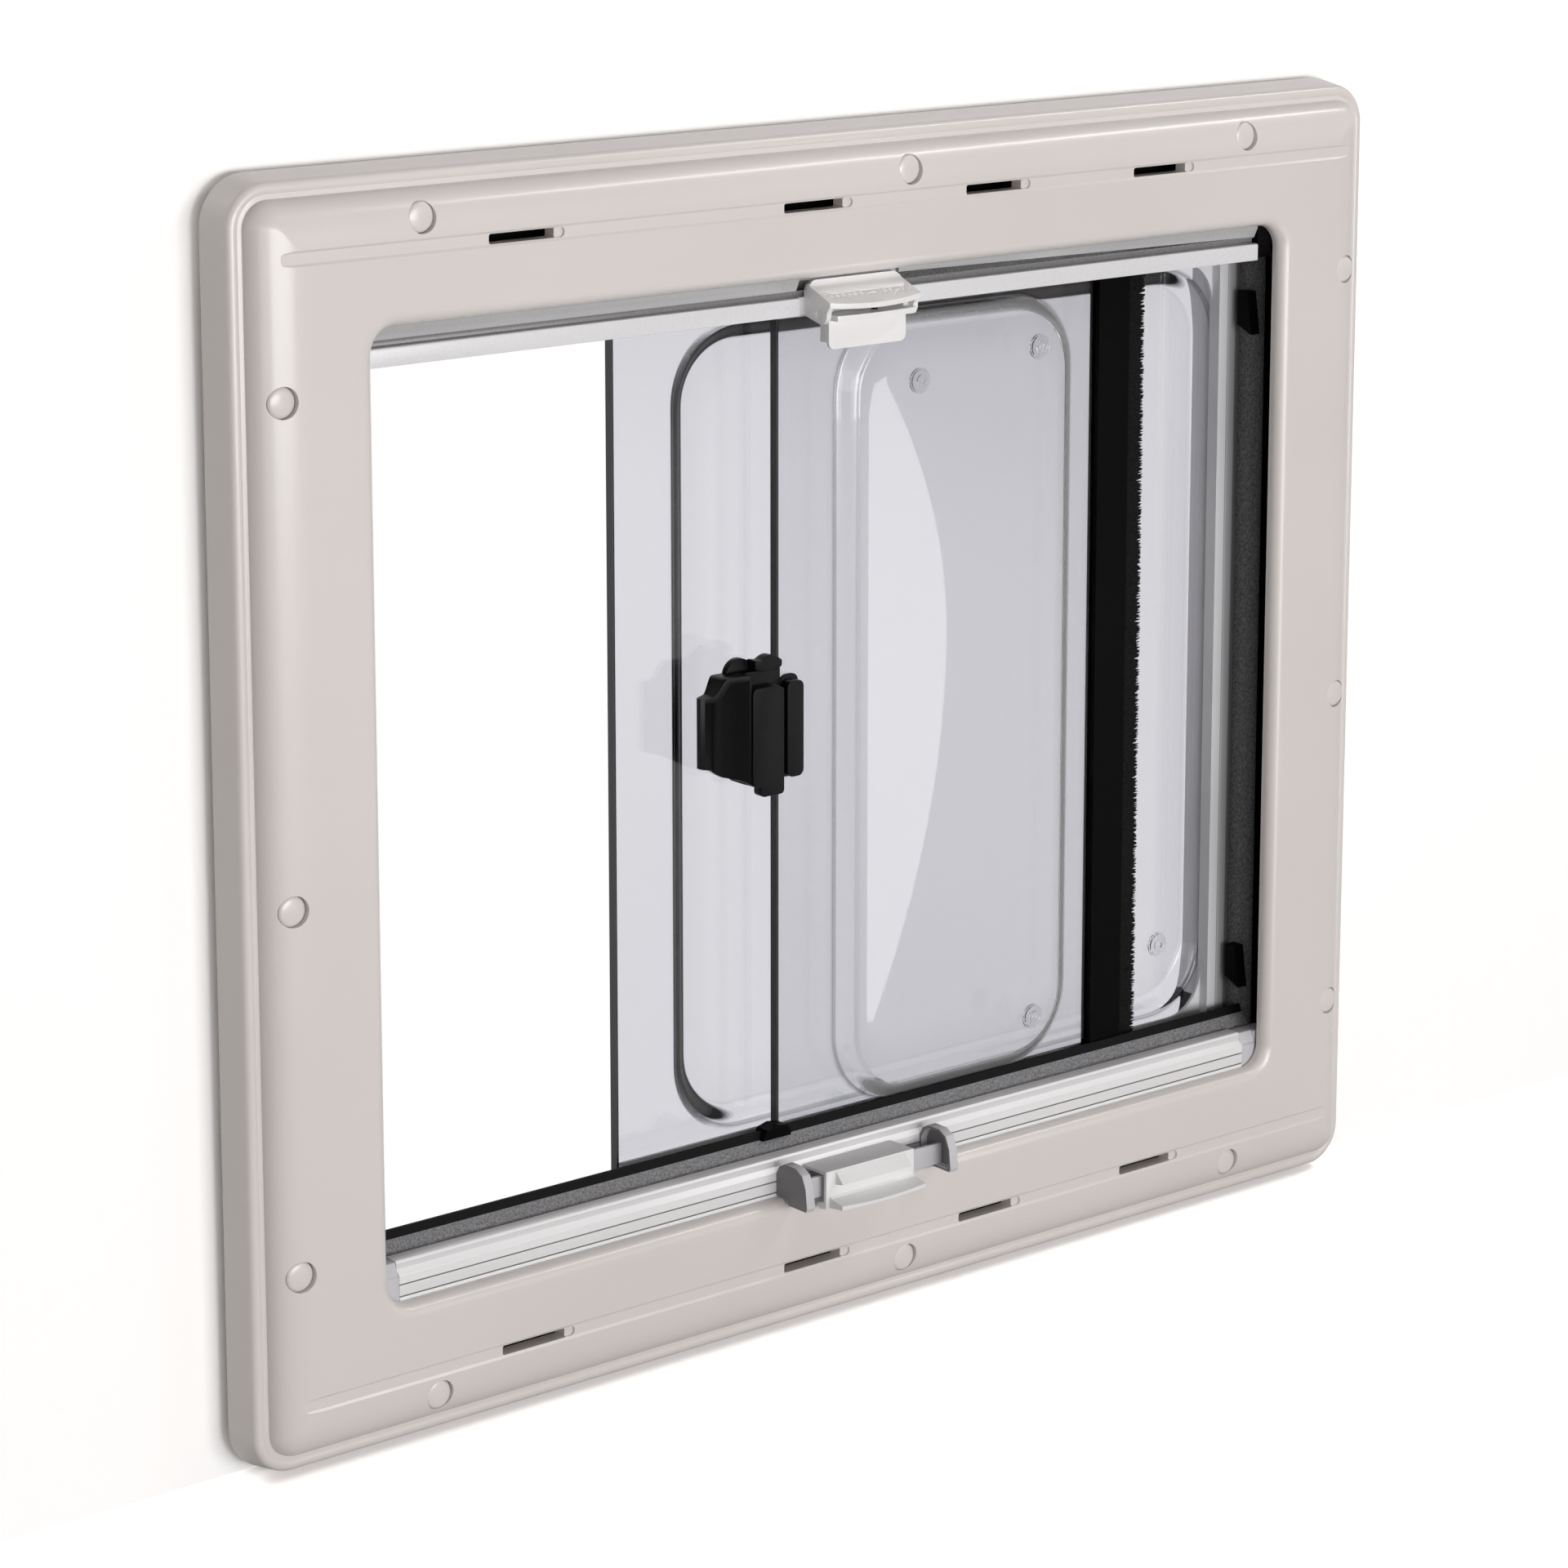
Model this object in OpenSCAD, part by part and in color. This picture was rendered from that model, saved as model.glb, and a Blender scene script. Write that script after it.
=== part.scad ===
// Sliding caravan window with double acrylic panes, flyscreen and blackout blind.
// X runs along the width, Y points out of the vehicle and Z points up.
// The origin is on the seal face of the outer flange, in the middle of its lower side.

/* [Wall cut-out] */
// Width of the hole in the wall
cutout_w = 600; // [540:5:760]
// Height of the hole in the wall
cutout_h = 500; // [460:5:640]
// Corner radius of the hole in the wall
cutout_r = 22.5; // [18:0.5:30]
// Thickness of the vehicle wall that is clamped
wall_t = 28; // [26:0.5:36]

/* [Room side frame] */
// How far the room side frame laps over the wall
trim_lap = 16.5; // [14:0.5:24]
// Width of the moulded flange, from outer edge to opening
flange_w = 63.5; // [61:0.5:72]
// Height of the flange over the wall
flange_rise = 26; // [25:0.5:30]
// Height of the bead round the outer edge
bead_rise = 16.4; // [15:0.1:18]
// Wall thickness of the moulding
skin_t = 3; // [2.5:0.1:3.5]
// Corner radius of the room side frame at the wall
frame_r = 20.5; // [18:0.5:23]
// Corner radius of the opening
opening_r = 11; // [9.5:0.5:14]
// Height of the shallow band that holds the air slots
band_h = 5.9; // [5:0.1:7]
// Distance of the band from the outer edge
band_inset = 32.2; // [31:0.1:34]
// Length of an air slot
slot_l = 33; // [26:1:35]
// Height of an air slot
slot_h = 4.2; // [3.5:0.1:4.4]

/* [Clamp screws] */
// Distance of the screws from the outer edge of the frame
screw_inset = 20.8; // [20.2:0.1:21.5]
// Diameter of a cover cap
cap_d = 12.6; // [11:0.1:14]
// Diameter of a screw shank
screw_d = 3.5; // [3:0.1:4]
// Diameter of a screw head
screw_head_d = 7; // [6:0.1:7.5]

/* [Outer frame] */
// How far the outer flange laps over the wall
outer_lap = 18; // [14:1:24]
// Thickness of the outer flange
outer_flange_t = 6; // [5:0.5:9]
// Thickness of the outer frame inside the cut-out
neck_t = 39; // [36:0.5:42]
// Width of the lip that holds the fixed pane
pane_lip_w = 8.5; // [7.5:0.5:10]

/* [Panes] */
// Thickness of one acrylic sheet
sheet_t = 2.5; // [2:0.1:3.2]
// Height of the formed bulge of a pane
bulge_h = 7; // [4:0.5:8]
// Share of the clear width that the fixed pane covers
fixed_share = 0.702; // [0.67:0.001:0.74]
// Share of the clear width by which the sliding pane is open, as shown
open_share = 0.452; // [0.4:0.001:0.46]
// Share of the clear width that the sliding pane covers, without its stile
sash_share = 0.3674; // [0.35:0.0002:0.39]
// Width of the black stile of the sliding pane
stile_w = 15; // [12:0.5:18]
// Corner radius of the bulges
bulge_r = 36; // [30:1:45]

/* [Screen and blind] */
// Height of the two end bars that shows in the opening
bar_show = 16.5; // [14:0.5:20]
// Depth of the end bars
bar_d = 10; // [9:0.5:10.5]
// Diameter of the wound screen and blind
roll_d = 11.5; // [9.5:0.5:12]
// Length of the screen handle
screen_handle_l = 51; // [44:1:70]
// Length of the blind grip
blind_grip_l = 51; // [44:1:60]
// Distance over the two guide clips of the blind
clip_span = 88; // [80:1:110]

/* [Latch] */
// Height of the latch block
latch_h = 44; // [40:1:54]
// Width of the latch block
latch_w = 16; // [13:1:20]
// Width of the scooped wing that the fingers pull
wing_w = 26; // [22:1:34]

/* [Hidden] */
$fn = 64;

// Room side frame
trim_w = cutout_w + 2 * trim_lap;
trim_h = cutout_h + 2 * trim_lap;
opening_w = trim_w - 2 * flange_w;
opening_h = trim_h - 2 * flange_w;
wall_in = -wall_t;
bead_r = 3;
bead_inset = 5.4;
valley_inset = 9.4;
valley_drop = 0.5;
crest_inset = 33;
crown_bow = 3;
crown_lift = 0.515;
crown_steps = [for (q = [0:0.1:1]) valley_inset + (frame_r - valley_inset) * q * q];
ridge_steps = [frame_r, frame_r + 3, frame_r + 7, crest_inset];
lip_w = 8;
lip_edge_drop = 5.5;
lip_return = 7;
skin_back = wall_in - flange_rise + skin_t;
band_depth = 0.8;
band_end_inset = 20;
pocket_l = 4.6;
slot_r = 1;
duct_wall_t = 1.1;
duct_depth = 8;
slot_fractions = [-0.357, -0.056, 0.146, 0.344];

// Screws and caps
screw_x = trim_w / 2 - screw_inset;
screw_z = trim_h / 2 - screw_inset;
top_screws = [-0.4526, 0.0506, 0.452];
side_screws = [-0.4397, -0.064, 0.4397];
cap_recess = 2.6;
cap_gap = 0.25;
cap_rise = 1.1;
cap_stem_l = 3;
boss_d = cap_d + 2 * cap_gap + 1.6;
screw_gap = 0.4;
screw_bite = 16;
screw_head_h = 2.6;
boss_floor_t = 4;
cap_seat = wall_in - flange_rise + cap_recess + 1.2;

// Outer frame
cut_gap = 1;
neck_w = cutout_w - 2 * cut_gap;
neck_h = cutout_h - 2 * cut_gap;
neck_r = cutout_r - cut_gap;
neck_front = wall_in - 8;
reveal_w = neck_w - 2 * neck_t;
reveal_h = neck_h - 2 * neck_t;
reveal_r = 14;
flange_out_w = cutout_w + 2 * outer_lap;
flange_out_h = cutout_h + 2 * outer_lap;
flange_out_r = cutout_r + outer_lap;
aperture_w = reveal_w - 2 * pane_lip_w;
aperture_h = reveal_h - 2 * pane_lip_w;
aperture_r = 20;
gasket_w = 8;
gasket_t = 1.5;
gasket_sink = 1.5;

// Panes, with the stack measured outwards from the room
fixed_out = -8;
fixed_mid = fixed_out - sheet_t;
fixed_in = fixed_mid - sheet_t;
pane_gap = 7;
sash_out = fixed_in - pane_gap;
sash_mid = sash_out - sheet_t;
sash_in = sash_mid - sheet_t;
bulge_slope = 9;
fixed_edge_x = reveal_w * (0.5 - fixed_share);
sash_edge_x = reveal_w * (open_share - 0.5);
sash_w = reveal_w * sash_share;
track_base_t = 3;
fixed_top = reveal_h / 2 - track_base_t;
sash_play = 0.3;
glider_h = 8;
sash_half_h = fixed_top - glider_h - sash_play;
bulge_inset_h = 26;
bulge_margin = 34;
bulge_margin_stile = 19.5;
fixed_bulge_half_h = fixed_top - bulge_inset_h;
sash_bulge_half_h = sash_half_h - bulge_inset_h + glider_h;
fixed_bulge_x0 = fixed_edge_x + bulge_margin;
fixed_bulge_x1 = reveal_w / 2 - pane_lip_w - 0.5;
sash_bulge_x0 = sash_edge_x + bulge_margin - 2;
sash_bulge_x1 = sash_edge_x + sash_w - bulge_margin_stile;
strip_t = 0.8;
strip_inset = 0.4;
stile_x0 = sash_edge_x + sash_w;
stile_lap = 4;
stile_in = 2.2;
stile_out = 1.2;
brush_w = 13;
brush_d = 5;
plug_d = 11.6;
plug_t = 1.4;
plug_inset_x = 26;
plug_inset_z = 24;
glider_l = 30;
glider_inset = 20;
bead_corner = 24;
stop_l = 16;

// Tracks
track_wall_t = 2;
track_block_in = neck_front;
track_block_out = sash_in - 2.5;
track_top = 27.5;
upper_track_top = 21.5;
track_slope_h = 7;
fin_h = 3.6;
bead_t = 1.5;
bead_w = 8;
bead_foot = 5.5;
bead_play = 0.5;

// Rails, bars, rollers
rail_x0 = opening_w / 2 + skin_t + 0.5;
rail_w = 14;
rail_front = skin_back;
rail_groove = 8;
rail_play = 0.5;
bar_play = 0.5;
cassette_z0 = opening_h / 2 + skin_t + 0.5;
cassette_z1 = trim_h / 2 - band_inset - band_h / 2 - 1;
cassette_t = 1.2;
bar_front = wall_in - flange_rise + lip_return + bar_play;
bar_end_x = rail_x0 + rail_groove - rail_play;
bar_cap_l = 9;
bar_x1 = opening_w / 2 - bar_cap_l;
bar_z0 = opening_h / 2 - bar_show;
bar_h = bar_show + 2;
roll_core_d = 7;
roll_end_gap = 2;
roll_play = 0.6;
screen_lip_h = 7.2;
screen_groove_d = 4;
screen_groove_top = 9.8;
screen_slant_top = 15;
screen_slant_back = 2.6;
screen_face_back = 0.4;
blind_edge_back = 3;
blind_rib_back = 2.2;
blind_rib_foot = 3.6;
blind_face_foot = 5.8;
blind_grooves = [9.4, 14.5];
blind_groove_t = 0.5;
blind_groove_d = 0.8;
tongue_foot = 0.6;

// Screen handle. Depths are out from the bar's front, heights from the bar's free edge.
screen_handle_x = -1;
handle_x0 = screen_handle_x - screen_handle_l / 2;
handle_x1 = screen_handle_x + screen_handle_l / 2;
handle_foot = 2.5;
handle_top = 15.1;
ledge_front = 15;
ledge_bow = 3;
ledge_t = 2.2;
ledge_line = 13.17;
ledge_slope = 0.417;
fillet_r = 3;
cheek_t = 2.5;
pivot_d = 4.2;
pivot_depth = 7.5;
pivot_rise = 1.4;
lever_gap = 1;
lever_t = 2.4;
lever_top = 1.1;
skirt_drop = 14.3;
skirt_t = 1.5;
notch_play = 0.5;
notch_side = 4;

// Blind grip, clips and link strip, drawn upside down with the same two measures
grip_x = -3.4;
grip_depth = 16.3;
grip_wall_t = 1.8;
grip_rise = 4.5;
tongue_depth = 25;
tongue_bow = 2;
hood_l = blind_grip_l - 11;
clip_t = 4.7;
clip_wall_t = 1.6;
strip_depth = 10;
link_t = 2;
link_rise = 7.3;
link_h = 9.6;

// Latch
latch_t = 12;
latch_z = 2.5;
latch_x1 = sash_edge_x - 7.8;
latch_x0 = latch_x1 - latch_w;
latch_back = 2;
latch_seat = 6;
latch_low = -latch_h / 2;
latch_high = latch_h / 2;
clamp_w = 9;
clamp_t = 6.4;
hump_d = 15;

// Height of the middle of the window over the origin
centre_z = cutout_h / 2 + outer_lap / 2;

module at_centre() {
    translate([0, 0, centre_z]) children();
}

// Rectangle with round corners
module rounded(w, h, r) {
    square([w - 2 * r, h], center = true);
    square([w, h - 2 * r], center = true);
    for (x = [-1, 1], y = [-1, 1]) translate([x * (w / 2 - r), y * (h / 2 - r)]) circle(r);
}

module rounded_span(x0, x1, y0, y1, r) {
    translate([(x0 + x1) / 2, (y0 + y1) / 2]) rounded(x1 - x0, y1 - y0, r);
}

// Plate parallel to the wall between two depths, from an outline in X and Z
module plate(y0, y1) {
    translate([0, y1, 0]) rotate([90, 0, 0]) linear_extrude(y1 - y0) children();
}

// Bar along X from a profile drawn in Y and Z
module along_x(x0, x1) {
    translate([x0, 0, 0]) rotate([90, 0, 90]) linear_extrude(x1 - x0) children();
}

// Profile carried round a rectangle with round corners.
// The profile's x is the distance from the corner's centre and y the height towards the room.
module carried(w, h, r, y0) {
    translate([0, y0, 0]) rotate([90, 0, 0]) {
        for (i = [0:3]) {
            sx = (i == 0 || i == 3) ? 1 : -1;
            sy = i < 2 ? 1 : -1;
            translate([sx * (w / 2 - r), sy * (h / 2 - r), 0]) rotate([0, 0, 90 * i])
                rotate_extrude(angle = 90) children();
            reach = i % 2 == 0 ? w / 2 - r : h / 2 - r;
            run = i % 2 == 0 ? h - 2 * r : w - 2 * r;
            rotate([0, 0, 90 * i]) translate([reach, run / 2, 0]) rotate([90, 0, 0])
                linear_extrude(run) children();
        }
    }
}

// Height of the moulding over the wall, by the distance from its outer edge.
// It rises steeply out of the valley and bends over into the flat crest.
function crown(s) = let (t = max(0, min(1, (s - valley_inset) / (crest_inset - valley_inset))))
    bead_rise - valley_drop + (flange_rise - bead_rise + valley_drop) * pow(1 - pow(1 - t, crown_bow), crown_lift);

function underside(s) = (s >= crest_inset ? flange_rise : crown(s - 1.2)) - skin_t;

function bead_point(a) = [bead_inset - bead_r * cos(a), bead_rise - bead_r + bead_r * sin(a)];

function trim_outside() = concat(
    [[0, 0]],
    [for (a = [10:20:130]) bead_point(a)],
    [for (s = crown_steps) [s, crown(s)]]);

function trim_inside() = concat(
    [for (q = [0:0.25:1]) let (s = frame_r - (frame_r - valley_inset - 3) * q) [s, underside(s)]],
    [[valley_inset, bead_rise - skin_t - 1], [skin_t + 2.4, bead_rise - skin_t - 1.4], [skin_t, 0]]);

// Outer part of the moulding, from the wall to one corner radius inwards
module trim_profile() {
    polygon([for (p = concat(trim_outside(), trim_inside())) [frame_r - p[0], p[1]]]);
}

// Outline of the inner part over the width w: its top, or its underside
function ridge_half(under) = [for (s = ridge_steps) [s, under ? underside(s) : crown(s)]];
function ridge_line(w, under) = let (half = ridge_half(under), n = len(half)) concat(
    [for (p = half) [p[0] - w / 2, p[1]]],
    [for (i = [n - 1:-1:0]) [w / 2 - half[i][0], half[i][1]]]);

// Inner part as a block down to the wall, in which the crowns of two sides meet
module ridge_block(under) {
    base = under ? wall_in + 1 : wall_in - flange_rise + 2 * skin_t;
    reach = under ? 0.1 : 0;
    intersection() {
        translate([0, 0, frame_r - trim_h / 2 - reach]) linear_extrude(trim_h - 2 * frame_r + 2 * reach)
            polygon(concat([[frame_r - trim_w / 2, base]],
                [for (p = ridge_line(trim_w, under)) [p[0], wall_in - p[1]]], [[trim_w / 2 - frame_r, base]]));
        along_x(frame_r - trim_w / 2 - reach, trim_w / 2 - frame_r + reach)
            polygon(concat([[base, frame_r - trim_h / 2]],
                [for (p = ridge_line(trim_h, under)) [wall_in - p[1], p[0]]], [[base, trim_h / 2 - frame_r]]));
    }
}

// Rounded lip at the opening, from its corner's centre outwards
module lip_profile() {
    drop = lip_edge_drop;
    arc = [for (a = [0:15:90]) [
        opening_r + drop - drop * cos(a),
        flange_rise - drop + drop * sin(a)]];
    polygon(concat(
        [[opening_r, flange_rise - lip_return]],
        arc,
        [[opening_r + lip_w, flange_rise], [opening_r + lip_w, flange_rise - skin_t],
         [opening_r + skin_t, flange_rise - skin_t], [opening_r + skin_t, flange_rise - lip_return]]));
}

function screw_places() = concat(
    [for (f = top_screws, s = [-1, 1]) [f * opening_w, s * screw_z]],
    [for (f = side_screws, s = [-1, 1]) [s * screw_x, f * opening_h]]);

module at_screws() {
    for (p = screw_places()) translate([p[0], 0, p[1]]) rotate([90, 0, 0]) children();
}

module at_slots() {
    for (f = slot_fractions, s = [-1, 1]) translate([f * opening_w, s * (trim_h / 2 - band_inset)]) children();
}

module slot_pocket() {
    rounded_span(slot_l / 2 - slot_r, slot_l / 2 + pocket_l, -slot_h / 2, slot_h / 2, slot_h / 2 - 0.1);
}

module interior_frame() {
    color([0.87, 0.84, 0.81]) at_centre() difference() {
        union() {
            carried(trim_w, trim_h, frame_r, wall_in) trim_profile();
            difference() {
                ridge_block(false);
                ridge_block(true);
                plate(wall_in - flange_rise - 1, wall_in)
                    rounded(opening_w + 2 * lip_w, opening_h + 2 * lip_w, opening_r + lip_w);
            }
            carried(opening_w, opening_h, opening_r, wall_in) lip_profile();
            at_screws() translate([0, 0, -neck_front]) cylinder(d = boss_d, h = neck_front - skin_back + 1);
            plate(skin_back - 1, wall_in - flange_rise + duct_depth) at_slots()
                rounded(slot_l + 2 * duct_wall_t, slot_h + 2 * duct_wall_t, slot_r + duct_wall_t);
        }
        at_screws() {
            translate([0, 0, -cap_seat]) cylinder(d = cap_d + 2 * cap_gap, h = flange_rise);
            translate([0, 0, -neck_front - 1]) cylinder(d = screw_d + 2 * screw_gap, h = flange_rise + 2);
            translate([0, 0, -neck_front + boss_floor_t]) cylinder(d = screw_head_d + 2 * screw_gap, h = flange_rise);
        }
        plate(wall_in - flange_rise - 1, wall_in - flange_rise + band_depth)
            for (s = [-1, 1]) translate([0, s * (trim_h / 2 - band_inset)])
                rounded(trim_w - 2 * band_end_inset, band_h, 2);
        plate(wall_in - flange_rise - 1, wall_in - flange_rise + duct_depth + 1)
            at_slots() rounded(slot_l, slot_h, slot_r);
        plate(wall_in - flange_rise - 1, wall_in - flange_rise + 2) at_slots() slot_pocket();
    }
}

module screw_caps() {
    color([0.88, 0.85, 0.83]) at_centre() at_screws() {
        translate([0, 0, -cap_seat]) rotate_extrude() polygon(concat(
            [[0, 0], [cap_d / 2 - 0.4, 0], [cap_d / 2, 0.5], [cap_d / 2, 1.2]],
            [for (a = [80:-20:0]) [cap_d / 2 * sin(a), 1.4 + cap_rise * cos(a)]]));
        translate([0, 0, -cap_seat - cap_stem_l]) cylinder(d = screw_head_d + 2 * screw_gap - 0.1, h = cap_stem_l);
    }
}

module clamp_screws() {
    color([0.7, 0.7, 0.72]) at_centre() at_screws() {
        translate([0, 0, -neck_front + boss_floor_t]) cylinder(d = screw_head_d, h = screw_head_h);
        translate([0, 0, -neck_front - screw_bite]) cylinder(d = screw_d, h = screw_bite + boss_floor_t + 1);
    }
}

// Flange outside the vehicle, with a rounded outer edge
module outer_flange_profile() {
    t = outer_flange_t;
    polygon(concat(
        [[0, 0], [flange_out_r - 1, 0], [flange_out_r, -1]],
        [for (a = [0:15:90]) [flange_out_r - 4 + 4 * cos(a), -t + 4 - 4 * sin(a)]],
        [[0, -t]]));
}

module outer_frame() {
    color([0.16, 0.16, 0.17]) at_centre() difference() {
        union() {
            carried(flange_out_w, flange_out_h, flange_out_r, 0) outer_flange_profile();
            plate(neck_front, 0) difference() {
                rounded(neck_w, neck_h, neck_r);
                rounded(reveal_w, reveal_h, reveal_r);
            }
            plate(fixed_out, outer_flange_t) difference() {
                rounded(neck_w - 2, neck_h - 2, neck_r);
                rounded(aperture_w, aperture_h, aperture_r);
            }
        }
        at_screws() translate([0, 0, -neck_front - screw_bite - 1]) cylinder(d = screw_d, h = screw_bite + 2);
        plate(-1, gasket_sink) gasket_outline();
    }
}

module gasket_outline() {
    lap = outer_lap - 4;
    difference() {
        rounded(cutout_w + 2 * lap, cutout_h + 2 * lap, cutout_r + lap);
        rounded(cutout_w + 2 * (lap - gasket_w), cutout_h + 2 * (lap - gasket_w), cutout_r + lap - gasket_w);
    }
}

module wall_gasket() {
    color([0.35, 0.35, 0.36]) at_centre() plate(gasket_sink - gasket_t, gasket_sink) gasket_outline();
}

// Guide rail with the groove towards the opening, drawn for the right side
module guide_rail() {
    z1 = cassette_z1;
    difference() {
        translate([rail_x0, rail_front, -z1]) cube([rail_w, neck_front - rail_front, 2 * z1]);
        translate([rail_x0 - 1, bar_front - rail_play, -z1 - 1])
            cube([rail_groove + 1, bar_d + 2 * rail_play, 2 * z1 + 2]);
    }
}

module guide_rail_right() {
    color([0.08, 0.08, 0.09]) at_centre() guide_rail();
}

module guide_rail_left() {
    color([0.08, 0.08, 0.09]) at_centre() mirror([1, 0, 0]) guide_rail();
}

// Track profile for the lower side, in Y and Z
module track_profile(top) {
    base = -reveal_h / 2;
    polygon([[track_block_in, base], [fixed_out, base], [fixed_out, base + track_base_t],
        [fixed_in - bead_t, base + track_base_t], [fixed_in - bead_t, base + top - 6],
        [fixed_in - bead_t - track_wall_t, base + top - 6],
        [fixed_in - bead_t - track_wall_t, base + track_base_t],
        [track_block_out, base + track_base_t], [track_block_out, base + top],
        [track_block_out - 2.5, base + top],
        [track_block_in, base + top - track_slope_h]]);
}

module inside_reveal() {
    intersection() {
        children();
        plate(neck_front - 1, outer_flange_t) rounded(reveal_w, reveal_h, reveal_r);
    }
}

module track(top) {
    inside_reveal() along_x(-reveal_w / 2, reveal_w / 2) track_profile(top);
}

module lower_track() {
    color([0.42, 0.42, 0.43]) at_centre() track(track_top);
}

module upper_track() {
    color([0.42, 0.42, 0.43]) at_centre() mirror([0, 0, 1]) track(upper_track_top);
}

module fin_seal(top) {
    z0 = -reveal_h / 2 + top;
    along_x(-reveal_w / 2, reveal_w / 2)
        polygon([[track_block_out - 2.5, z0], [track_block_out - 0.3, z0], [track_block_out, z0 + fin_h],
            [track_block_out - 1.2, z0 + fin_h]]);
}

module lower_fin_seal() {
    color([0.07, 0.07, 0.08]) at_centre() fin_seal(track_top);
}

module upper_fin_seal() {
    color([0.07, 0.07, 0.08]) at_centre() mirror([0, 0, 1]) fin_seal(upper_track_top);
}

// Bead round the fixed pane, seen as a light strip at the side
module glazing_bead() {
    color([0.6, 0.6, 0.61]) at_centre() inside_reveal() {
        plate(fixed_in - bead_t, fixed_in) difference() {
            rounded_span(fixed_edge_x, reveal_w / 2, -fixed_top, fixed_top, 1);
            rounded_span(fixed_edge_x - 60, reveal_w / 2 - bead_w - bead_foot,
                bead_corner - fixed_top, fixed_top - bead_corner,
                aperture_r);
        }
        plate(sash_out + bead_play, fixed_in - bead_t) difference() {
            half = reveal_h / 2 - track_top + 2;
            rounded_span(reveal_w / 2 - bead_w - bead_foot, reveal_w / 2, -half, half, 1);
        }
    }
}

// Dark wedges on the right side of the reveal, near its upper and lower end
module reveal_catches() {
    catch_h = 20;
    catch_d = 9;
    catch_w = 6;
    z = reveal_h / 2 - track_top - fin_h - catch_h;
    color([0.1, 0.1, 0.11]) at_centre() for (s = [-1, 1])
        intersection() {
            translate([reveal_w / 2 - catch_w, neck_front + 3, s * z - catch_h / 2]) cube([catch_w, catch_d, catch_h]);
            translate([reveal_w / 2, neck_front + 3 + catch_d / 2, s * z]) rotate([0, -90, 0])
                linear_extrude(catch_w) polygon([[-catch_h / 2, -catch_d / 2], [catch_h / 2, -catch_d / 2 + 3],
                    [catch_h / 2, catch_d / 2], [-catch_h / 2 + 4, catch_d / 2]]);
        }
}

// Flat sheet with a formed bulge, drawn from its free face at y_mid towards dir.
// The bulge swells out in a round slope and has a flat crown.
function bulge_rise(t) = bulge_h * (1 - cos(180 * t)) / 2;

module bulged_sheet(x0, x1, half_h, bx0, bx1, bulge_half_h, y_mid, dir) {
    cx = (bx0 + bx1) / 2;
    bw = bx1 - bx0;
    bh = 2 * bulge_half_h;
    steps = [0:0.125:1];
    translate([0, y_mid, 0]) mirror([0, dir > 0 ? 1 : 0, 0]) {
        plate(-sheet_t, 0) difference() {
            translate([(x0 + x1) / 2, 0]) square([x1 - x0, 2 * half_h], center = true);
            translate([cx, 0]) rounded(bw, bh, bulge_r);
        }
        translate([cx, 0, 0]) carried(bw, bh, bulge_r, 0)
            polygon(concat(
                [for (t = steps) [bulge_r - bulge_slope * t, sheet_t + bulge_rise(t)]],
                [for (t = steps) [bulge_r - bulge_slope * (1 - t), bulge_rise(1 - t)]]));
        translate([cx, 0, 0]) plate(-sheet_t - bulge_h, -bulge_h)
            rounded(bw - 2 * bulge_slope, bh - 2 * bulge_slope, bulge_r - bulge_slope);
    }
}

module fixed_pane_inner_sheet() {
    color([0.85, 0.85, 0.89, 0.4]) at_centre() inside_reveal() plate(fixed_in, fixed_mid)
        translate([(fixed_edge_x + reveal_w / 2) / 2, 0])
            square([reveal_w / 2 - fixed_edge_x, 2 * fixed_top], center = true);
}

module fixed_pane_outer_sheet() {
    color([0.85, 0.85, 0.89, 0.4]) at_centre() inside_reveal()
        bulged_sheet(fixed_edge_x, reveal_w / 2, fixed_top,
            fixed_bulge_x0, fixed_bulge_x1, fixed_bulge_half_h, fixed_mid, 1);
}

module fixed_pane_edge_strip() {
    color([0.25, 0.25, 0.27]) at_centre()
        translate([fixed_edge_x - strip_t, fixed_in + strip_inset, strip_inset - fixed_top])
            cube([strip_t, 2 * (sheet_t - strip_inset), 2 * (fixed_top - strip_inset)]);
}

module sliding_pane_outer_sheet() {
    color([0.83, 0.83, 0.88, 0.4]) at_centre() plate(sash_mid, sash_out)
        translate([sash_edge_x + sash_w / 2, 0]) square([sash_w, 2 * sash_half_h], center = true);
}

module sliding_pane_inner_sheet() {
    color([0.83, 0.83, 0.88, 0.4]) at_centre()
        bulged_sheet(sash_edge_x, sash_edge_x + sash_w, sash_half_h,
            sash_bulge_x0, sash_bulge_x1, sash_bulge_half_h, sash_mid, -1);
}

module sliding_pane_edge_strip() {
    color([0.25, 0.25, 0.27]) at_centre()
        translate([sash_edge_x - strip_t, sash_in + strip_inset, strip_inset - sash_half_h])
            cube([strip_t, 2 * (sheet_t - strip_inset), 2 * (sash_half_h - strip_inset)]);
}

module sliding_stile() {
    color([0.1, 0.1, 0.11]) at_centre() difference() {
        translate([stile_x0 - stile_lap, sash_in - stile_in, -sash_half_h])
            cube([stile_w + stile_lap, 2 * sheet_t + stile_in + stile_out, 2 * sash_half_h]);
        translate([stile_x0 - stile_lap - 1, sash_in, -sash_half_h - 1])
            cube([stile_lap + 1, 2 * sheet_t, 2 * sash_half_h + 2]);
    }
}

module brush_seal() {
    color([0.13, 0.13, 0.14]) at_centre()
        translate([stile_x0 + stile_w, sash_in + 0.5, -sash_half_h + 2]) cube([brush_w, brush_d, 2 * sash_half_h - 4]);
}

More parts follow.
